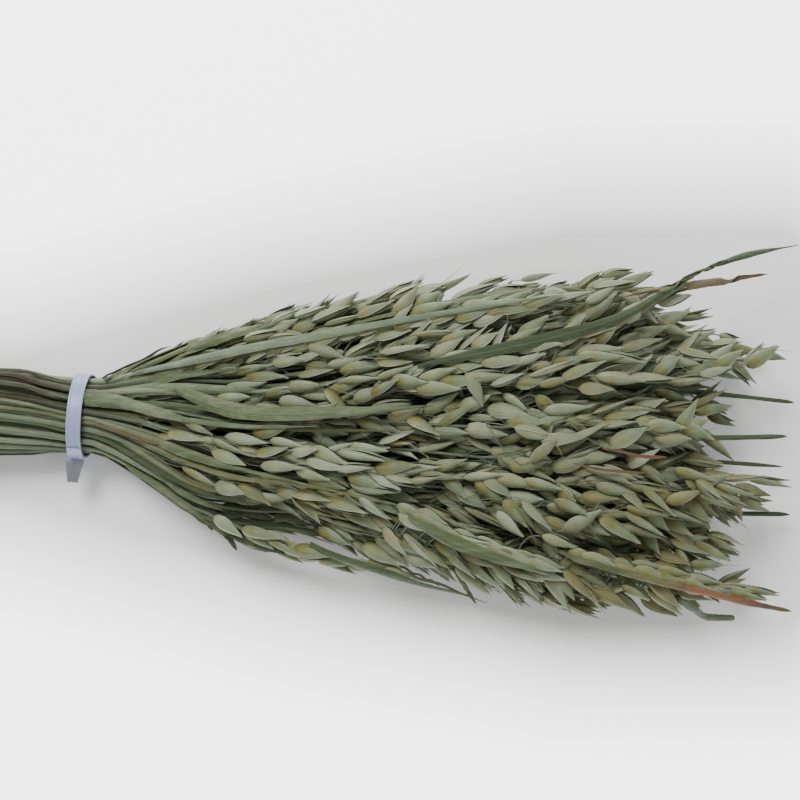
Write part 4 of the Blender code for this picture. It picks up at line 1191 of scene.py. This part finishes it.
def kernel_finish(colours):
    """Florets: cream with tan streaks."""
    weave = Weave("kernel")
    run, age = weave.marks("run", "age")
    body = weave.ramp(run, (0.0, colours.chaff_foot), (0.35, colours.kernel), (0.9, colours.chaff_dry))
    streaks = weave.noise(700.0, (0.08, 1.0, 1.0))
    return weave.paint(
        weave.mix(weave.times(age, 0.6), body, colours.chaff_dry),
        weave.ramp(streaks, (0.3, 0.55), (0.7, 1.15)), streaks, 0.4, 0.0002, Roughness=0.55)


def straw_finish(colours):
    """Culms and branches: fibres along the stem, paler and browner lengths, and narrow dark lines of painted
    shade in grooves along them.
    """
    weave = Weave("straw")
    side, tone, age = weave.marks("side", "tone", "age")
    # Painted shade: narrow dark lines along each stem, so that it reads as thinner stems with gaps in shade
    # between them; the same lines also feed the relief.
    shaded_groove = weave.sized(weave.math("SINE", weave.total((tone, 6.0), (side, 4.6))))
    patches = weave.noise(60.0, (0.22, 1.0, 1.0), 2.0)
    fibre = weave.noise(1400.0, (0.03, 1.0, 1.0))
    colour = weave.mix(weave.math("POWER", tone, 2.5), colours.straw, colours.straw_pale)
    colour = weave.mix(weave.times(age, weave.ramp(patches, (0.35, 0.60), (0.65, 1.0))),
                       colour, colours.straw_brown)
    # Darken the colour along those lines: painted shade.
    colour = weave.mix(1.0, colour, weave.ramp(shaded_groove, (0.0, 0.42), (0.30, 1.0)), "MULTIPLY")
    shade = weave.total((fibre, 0.6), (patches, 0.4))
    relief = weave.math("ADD", fibre, weave.ramp(shaded_groove, (0.0, 0.0), (0.35, 1.0)))
    return weave.paint(
        colour, weave.ramp(shade, (0.25, 0.60), (0.75, 1.25)), relief, 0.40,
        Roughness=weave.ramp(fibre, (0.3, 0.78), (0.7, 0.58)), Specular_IOR_Level=0.3)


def blade_finish(colours):
    """Leaves: veins along the blade, from dark green to blue-grey, dying to red-brown."""
    weave = Weave("blade")
    side, tone, age = weave.marks("side", "tone", "age")
    veins = weave.ribs(side, 26.0)
    midrib = weave.math("POWER", weave.math("SUBTRACT", 1.0, weave.sized(side), clamp=True), 14.0)
    margin = weave.math("POWER", weave.sized(side), 8.0)
    patches = weave.noise(55.0, (0.25, 1.0, 1.0), 3.0)
    streaks = weave.noise(330.0, (0.05, 1.0, 1.0), 2.0)
    fibre = weave.noise(1100.0, (0.04, 1.0, 1.0))
    specks = weave.noise(520.0, (0.45, 1.0, 1.0), 1.0)
    colour = weave.ramp(tone, (0.0, colours.blade_dark), (0.5, colours.blade_green),
                        (1.0, colours.blade_pale))
    streak = weave.times(weave.ramp(streaks, (0.42, 0.0), (0.72, 0.70)), weave.math("ADD", tone, 0.10))
    colour = weave.mix(streak, colour, colours.straw_pale)
    colour = weave.mix(weave.times(midrib, 0.25), colour, colours.straw_pale)
    colour = weave.mix(weave.times(margin, 0.30), colour, colours.chaff_dry)
    wander = weave.times(weave.math("SUBTRACT", patches, 0.5), 0.5)
    dying = weave.math("ADD", age, weave.times(wander, weave.math("GREATER_THAN", age, 0.02)), clamp=True)
    tan = weave.ramp(dying, (0.0, colours.chaff_dry), (0.30, colours.chaff_dry), (0.60, colours.blade_dead),
                     (0.88, colours.blade_dry))
    colour = weave.mix(weave.ramp(dying, (0.08, 0.0), (0.50, 1.0)), colour, tan)
    colour = weave.mix(weave.ramp(specks, (0.66, 0.0), (0.74, 0.45)), colour, colours.blade_dead)
    shade = weave.total((veins, 0.22), (patches, 0.42), (fibre, 0.36))
    return weave.paint(
        colour, weave.ramp(shade, (0.20, 0.55), (0.80, 1.28)),
        weave.total((veins, 1.0), (fibre, 1.0), (midrib, -1.0)), 0.55,
        Roughness=weave.ramp(fibre, (0.3, 0.72), (0.7, 0.55)), Specular_IOR_Level=0.35)


def pith_finish(colours):
    """Cut ends: cream pith with a darker hollow."""
    weave = Weave("pith")
    grain = weave.noise(1500.0)
    return weave.paint(colours.pith, weave.ramp(grain, (0.3, 0.55), (0.7, 1.1)), grain, 0.5, Roughness=0.8)


def band_finish(colours):
    """Drawn plastic: bluish white, with fine lengthwise scratches and smudges, and a greyer free end that is
    painted shade.
    """
    weave = Weave("band")
    side, tone = weave.marks("side", "tone")
    drawn = weave.noise(900.0, (1.0, 0.06, 0.06))
    smudge = weave.noise(70.0)
    lines = weave.ribs(side, 24.0)
    shade = weave.total((drawn, 0.4), (smudge, 0.5), (lines, 0.12))
    # The tone mark brings in the greyer end colour on the free end: painted shade.
    return weave.paint(
        weave.mix(tone, colours.band_tail_shade, colours.band), weave.ramp(shade, (0.25, 0.74), (0.75, 1.10)),
        weave.total((lines, 1.0), (drawn, 0.7)), 0.25, 0.0002,
        Roughness=weave.ramp(smudge, (0.3, 0.40), (0.7, 0.28)), Subsurface_Weight=0.10,
        Subsurface_Radius=(0.002, 0.002, 0.002), Subsurface_Scale=1.0)


FINISH_MAKERS = {"chaff": chaff_finish, "kernel": kernel_finish, "straw": straw_finish,
                 "blade": blade_finish, "pith": pith_finish, "band": band_finish}
STALK_FINISHES = ("chaff", "kernel", "straw", "blade", "pith")


def finish(name, context):
    """The material of that name, made once."""
    return bpy.data.materials.get("oats " + name) or FINISH_MAKERS[name](context.scene.oat_sheaf_colours)


# Operators


class OATS_OT_add_stalks(bpy.types.Operator):
    """Add the culms with their heads and the shoots and leaves between them"""

    bl_idname = "oats.add_stalks"
    bl_label = "Add stalks"

    def execute(self, context):
        sizes = context.scene.oat_sheaf_sizes
        plan = stalk_plan()
        shoots = shoot_plan(plan)
        heads = plan + [shoot for shoot in shoots if not shoot["leaf"]]
        spikelets = spikelet_plan(heads, sizes)
        used = {name: place for place, name in enumerate(STALK_FINISHES)}
        materials = [finish(name, context) for name in STALK_FINISHES]
        moulds = [Mould() for _ in plan]
        add_dead_strips(moulds, plan, sizes, used["blade"])
        add_strand(moulds, plan, sizes, used)
        add_end_spikelets(moulds, plan, sizes, used)
        add_carrying_spikelets(moulds, plan, sizes, used)
        add_carrying_stems(moulds, plan, used)
        for index, mould in enumerate(moulds):
            rng = dice(100 + index)
            for place, head in enumerate(heads):
                if head["owner"] != index:
                    continue
                radius = sizes.culm_radius if place == index else sizes.shoot_radius
                add_culm(mould, head, radius, sizes, rng, used)
                own = {key: values[spikelets["head"] == place] for key, values in spikelets.items()}
                frames = spikelet_frames(own, rng)
                widest_gape = np.where(np.abs(own["u"]) > EDGE_U, EDGE_GAPE, 1.0)
                add_spikelets(mould, frames, widest_gape, ripeness_and_shade(own["x"], own["u"]), sizes, rng, used)
                add_pedicels(mould, head, own, frames, sizes, rng, used["straw"])
                add_bristles(mould, frames, rng, used["straw"])
                if head["rho"] > FLAG_LEAF_RHO and rng.uniform() < FLAG_LEAF_SHARE:
                    add_flag_leaf(mould, head, sizes, rng, used)
                if head["rho"] > SHEATH_RHO:
                    add_sheath(mould, head, sizes, dice(900 + place), used)
            for shoot in shoots:
                if shoot["owner"] == index and shoot["leaf"]:
                    add_loose_leaf(mould, shoot, sizes, rng, used)
            node = f"oat_stalk_{index + 1:02d}"
            finish_piece(mould.piece("oats_" + node, materials), node)
        return {"FINISHED"}


def leaf_routes(share):
    """Every leaf: name, width, share of it at the base, tone, dryness at both ends, path and facing."""
    for name, width, base, rest, tone, dry_base, dry_tip, places in LYING_LEAVES:
        path = surface_path(metres(places), rest, share)
        yield name, width, base, tone, dry_base, dry_tip, path, upturned(path)
    for name, width, base, rest, tone, dry_base, dry_tip, places in SIDE_LEAVES:
        x, degrees = np.array(places).T
        angle = np.radians(degrees)
        path = smooth_route(section_point(metres(x), rest * np.cos(angle), rest * np.sin(angle)), share)
        yield name, width, base, tone, dry_base, dry_tip, path, outward(path)
    plan = stalk_plan()
    for name, index, width, end_x, drift, tone in END_LEAVES:
        first_x = plan[index]["tip_x"] - END_LEAF_ROOT
        x = first_x + (metres(end_x) - first_x) * share
        path = stalk_point(x, plan[index]["u"] + drift * share, plan[index]["v"])
        yield name, width, 0.8, tone, 0.0, 0.05, path, UP


def leaf_half_width(share, width, base, blunt):
    """A blade widens from its base and runs out to a tip; a high blunt makes a torn end."""
    grown = np.interp(share, (0.0, 0.08, 0.30), (base, 0.5 + 0.5 * base, 1.0))
    taper = 0.05 + 0.95 * (1.0 - share ** blunt)
    return width * grown * taper / 2.0


def add_twine(mould, path, normal, sizes):
    """A torn strip that winds round a leaf where it is twisted to a cord."""
    share = np.linspace(0.0, 1.0, 90)
    at = (TWINED_PART[0] + (TWINED_PART[1] - TWINED_PART[0]) * share) * (len(path) - 1)
    line = np.stack([np.interp(at, np.arange(len(path)), path[:, axis]) for axis in range(3)], axis=-1)
    tangent = unit(np.gradient(line, axis=0))
    sideways = unit(np.cross(normal[len(path) // 2], tangent))
    turn = (math.tau * TWINE_TURNS * share)[:, None]
    away = sideways * np.cos(turn) + np.cross(tangent, sideways) * np.sin(turn)
    half_width = TWINE_HALF_WIDTH * np.sin(math.pi * np.clip(share, 0.03, 0.97)) ** 0.4
    add_blade(mould, 0, line + away * TWINE_RADIUS, away, half_width, 0.8,
              sizes.blade_thickness, 0.0, 0.25, 0.06)


class OATS_OT_add_leaves(bpy.types.Operator):
    """Add the leaves that lie on the bundle and stand out past the heads"""

    bl_idname = "oats.add_leaves"
    bl_label = "Add leaves"

    def execute(self, context):
        sizes = context.scene.oat_sheaf_sizes
        share = np.linspace(0.0, 1.0, 72)
        for place, route in enumerate(leaf_routes(share)):
            name, width, base, tone, dry_base, dry_tip, path, normal = route
            rng = dice(300 + place)
            mould = Mould()
            sink = (WIDE_BASE_SINK if base > 0.8 else BASE_SINK) * (1.0 - grow(share, 0.0, 0.12)) ** 2
            if name in TUCKED_LEAVES:
                sink = sink + TIP_SINK * grow(share, 0.70, 0.30) ** 2
            path = path - normal * sink[:, None]
            wave = 1.0 + 0.05 * ripple(share, rng, 14, 26)
            wave = wave + 0.025 * ripple(share, rng, 50, 80)
            blunt = BLUNT_LEAVES.get(name, BLUNTNESS)
            half_width = leaf_half_width(share, metres(width), base, blunt) * wave
            arc = 0.75 + 0.35 * ripple(share, rng, 5, 9)
            roll = 0.25 * ripple(share, rng, 4, 8)
            for start, end in TURNED_LEAVES.get(name, ()):
                turned = grow(share, start, end - start)
                roll = roll + math.pi * turned * turned * (3.0 - 2.0 * turned)
                arc = arc + (1.7 - arc) * np.sin(math.pi * turned) ** 2
            if name in WAISTS:
                half_width = half_width * np.interp(share, *zip(*WAISTS[name]))
            age = dry_base + (dry_tip - dry_base) * share ** 1.3
            if name in DRYNESS:
                age = np.interp(share, *zip(*DRYNESS[name]))
            add_blade(mould, 0, path, normal, half_width, arc, sizes.blade_thickness, roll, tone, age)
            if name == TWINED_LEAF:
                add_twine(mould, path, normal, sizes)
            node = "leaf_" + name
            finish_piece(mould.piece("oats_" + node, [finish("blade", context)]), node)
        return {"FINISHED"}


def tied_outline(offset, count=96):
    """The tied stems' outline moved out by offset, in the band's own upright plane, and its middle."""
    half_width, half_height, lift, power = (
        float(curve_value(table, 0.0)) for table in (HALF_WIDTH, HALF_HEIGHT, LIFT, UNDERSIDE_POWER))
    angle = np.linspace(0.0, math.tau, count, endpoint=False)
    u, v = np.cos(angle), np.sin(angle)
    stretch = np.where(v < 0.0, (np.abs(u) ** power + np.abs(v) ** power) ** (-1.0 / power), 1.0)
    y = u * stretch * (half_width + offset)
    z = half_height + lift + v * stretch * (half_height + offset)
    return np.stack((np.zeros(count), y, z), axis=-1), (half_height + lift) * UP


class OATS_OT_add_band(bpy.types.Operator):
    """Add the flat plastic band that ties the bundle, with its free end"""

    bl_idname = "oats.add_band"
    bl_label = "Add band"

    def execute(self, context):
        sizes = context.scene.oat_sheaf_sizes
        half, thickness = sizes.band_width / 2.0, sizes.band_thickness
        section = np.array(BAND_SECTION)[::-1]
        side, rise = section[:, 0], section[:, 1] * thickness
        mould = Mould()

        loop, middle = tied_outline(STEM_RADIUS + BAND_GAP)
        ahead = unit(np.roll(loop, -1, axis=0) - np.roll(loop, 1, axis=0))
        away = np.cross(ahead, (1.0, 0.0, 0.0))
        rings = loop[:, None, :] + away[:, None, :] * rise[:, None]
        rings[..., 0] = side * half
        share = np.linspace(0.0, 1.0, len(loop))[:, None]
        mould.add(rings[None], 0, run=share, side=side, tone=1.0, loop=True)

        root_y = -(float(curve_value(HALF_WIDTH, 0.0)) + STEM_RADIUS + BAND_GAP + thickness)
        t = np.linspace(0.0, 1.0, 14)
        above_tail = loop[:, 2] - BAND_TAIL_Z
        lap = loop[(loop[:, 1] < 0.0) & (above_tail > 0.0) & (above_tail < BAND_LAP_RISE)]
        lap = lap[np.argsort(-lap[:, 2])]
        lap = lap + unit(lap - middle) * thickness * 1.02
        tail = np.stack((np.zeros(14), root_y - 0.0004 - (BAND_TAIL_LENGTH - 0.0004) * t,
                         BAND_TAIL_Z - 0.0005 + BAND_TAIL_RISE * (0.15 * t + 0.85 * t ** 2)), axis=-1)
        path = smooth_route(np.concatenate((lap, tail))[::2], np.linspace(0.0, 1.0, 30))
        away = np.cross(unit(np.gradient(path, axis=0)), (1.0, 0.0, 0.0))
        away = away * np.sign(away[:, 2:3] - away[:, 1:2] + 1e-9)
        rings = path[:, None, :] + away[:, None, :] * (rise * 0.85)[:, None]
        past = grow(-path[:, 1], -root_y, BAND_TAIL_LENGTH)[:, None]
        front = np.interp(past, (0.0, 0.10, 1.0), (half, 0.0040, 0.0002))
        back = np.interp(past, (0.0, 0.10, 1.0), (half, 0.0062, 0.0052))
        rings[..., 0] = side * np.where(side > 0.0, front, back)
        share = np.linspace(0.0, 1.0, len(path))[:, None]
        # Painted shade: past its root the free end fades to the greyer end colour, as it turns away from the
        # light.
        unshaded = np.clip(1.0 - past * 6.0, 0.0, 1.0)
        mould.add(rings[None, ::-1], 0, run=share, side=side, tone=unshaded[::-1])

        piece = mould.piece("oats_tie_band", [finish("band", context)], sharp=35.0)
        cos, sin = math.cos(BAND_TURN), math.sin(BAND_TURN)
        points = np.empty(len(piece.data.vertices) * 3, np.float32)
        piece.data.vertices.foreach_get("co", points)
        points = points.reshape(-1, 3)
        points[:, :2] = points[:, :2] @ np.array(((cos, sin), (-sin, cos)))
        points[:, 2] = np.maximum(points[:, 2], 0.0)
        piece.data.vertices.foreach_set("co", points.reshape(-1))
        piece.data.update()
        finish_piece(piece, "tie_band")
        return {"FINISHED"}


class OATS_OT_add_stage(bpy.types.Operator):
    """Add the pale floor, the soft lights and the camera over the bundle"""

    bl_idname = "oats.add_stage"
    bl_label = "Add stage"

    def execute(self, context):
        sizes, colours = context.scene.oat_sheaf_sizes, context.scene.oat_sheaf_colours
        half = sizes.floor_size / 2.0
        mesh = bpy.data.meshes.new("floor")
        corners = [(x * half, y * half, FLOOR_Z) for x, y in ((-1, -1), (1, -1), (1, 1), (-1, 1))]
        mesh.from_pydata(corners, [], [(0, 1, 2, 3)])
        weave = Weave("floor")
        x, y = (weave.node("SeparateXYZ", axis, {"Vector": weave.coordinates}) for axis in "XY")
        covered = weave.ramp(weave.math("MULTIPLY_ADD", x, 1.25, 0.375), *COVERED_FLOOR)
        beyond = weave.math("SUBTRACT", weave.sized(weave.math("ADD", y, 0.008)), covered)
        glow = weave.ramp(weave.times(beyond, 5.0), (0.02, 0.0), (0.42, 1.0))
        mesh.materials.append(weave.paint(
            colours.floor, weave.ramp(weave.noise(3.0), (0.3, 0.985), (0.7, 1.0)), Roughness=0.9,
            Emission_Color=(1.0, 1.0, 1.0), Emission_Strength=weave.times(glow, FLOOR_GLOW)))
        floor = bpy.data.objects.new("floor", mesh)
        context.scene.collection.objects.link(floor)

        world = bpy.data.worlds.new("studio")
        world.use_nodes = True
        background = world.node_tree.nodes["Background"].inputs
        background["Color"].default_value = (1.0, 1.0, 1.0, 1.0)
        background["Strength"].default_value = WORLD_LIGHT
        context.scene.world = world
        for name, place, size, power in LIGHTS:
            lamp = bpy.data.lights.new(name, "AREA")
            lamp.shape, lamp.size, lamp.energy = "DISK", size, power
            light = bpy.data.objects.new(name, lamp)
            light.location = place
            aim = Vector(LIGHTS_AIM) - Vector(place)
            light.rotation_euler = aim.to_track_quat("-Z", "Y").to_euler()
            context.scene.collection.objects.link(light)

        camera = bpy.data.objects.new("camera", bpy.data.cameras.new("camera"))
        camera.data.lens, camera.data.sensor_width = CAMERA_LENS, CAMERA_SENSOR
        camera.location = (*CAMERA_XY, sizes.camera_height)
        context.scene.collection.objects.link(camera)
        context.scene.camera = camera
        return {"FINISHED"}


class OATS_PT_sheaf(bpy.types.Panel):
    """The bundle's operators, sizes and colours"""

    bl_label = "Oat bundle"
    bl_idname = "OATS_PT_sheaf"
    bl_space_type = "VIEW_3D"
    bl_region_type = "UI"
    bl_category = "Oat bundle"

    def draw(self, context):
        layout = self.layout
        for operator in OPERATORS:
            layout.operator(operator.bl_idname)
        for group in (context.scene.oat_sheaf_sizes, context.scene.oat_sheaf_colours):
            column = layout.column()
            for name in group.__annotations__:
                column.prop(group, name)


OPERATORS = (OATS_OT_add_stage, OATS_OT_add_stalks, OATS_OT_add_leaves, OATS_OT_add_band)
CLASSES = (OatSheafSizes, OatSheafColours, *OPERATORS, OATS_PT_sheaf)


def register():
    """Register the classes and hang the settings on the scene."""
    for each in CLASSES:
        bpy.utils.register_class(each)
    bpy.types.Scene.oat_sheaf_sizes = bpy.props.PointerProperty(type=OatSheafSizes)
    bpy.types.Scene.oat_sheaf_colours = bpy.props.PointerProperty(type=OatSheafColours)


def unregister():
    """Take the settings and the classes away again."""
    del bpy.types.Scene.oat_sheaf_colours
    del bpy.types.Scene.oat_sheaf_sizes
    for each in reversed(CLASSES):
        bpy.utils.unregister_class(each)


def main():
    """Dress the bundle."""
    register()
    bpy.ops.oats.add_stage()
    bpy.ops.oats.add_stalks()
    bpy.ops.oats.add_leaves()
    bpy.ops.oats.add_band()


if __name__ == "__main__":
    main()
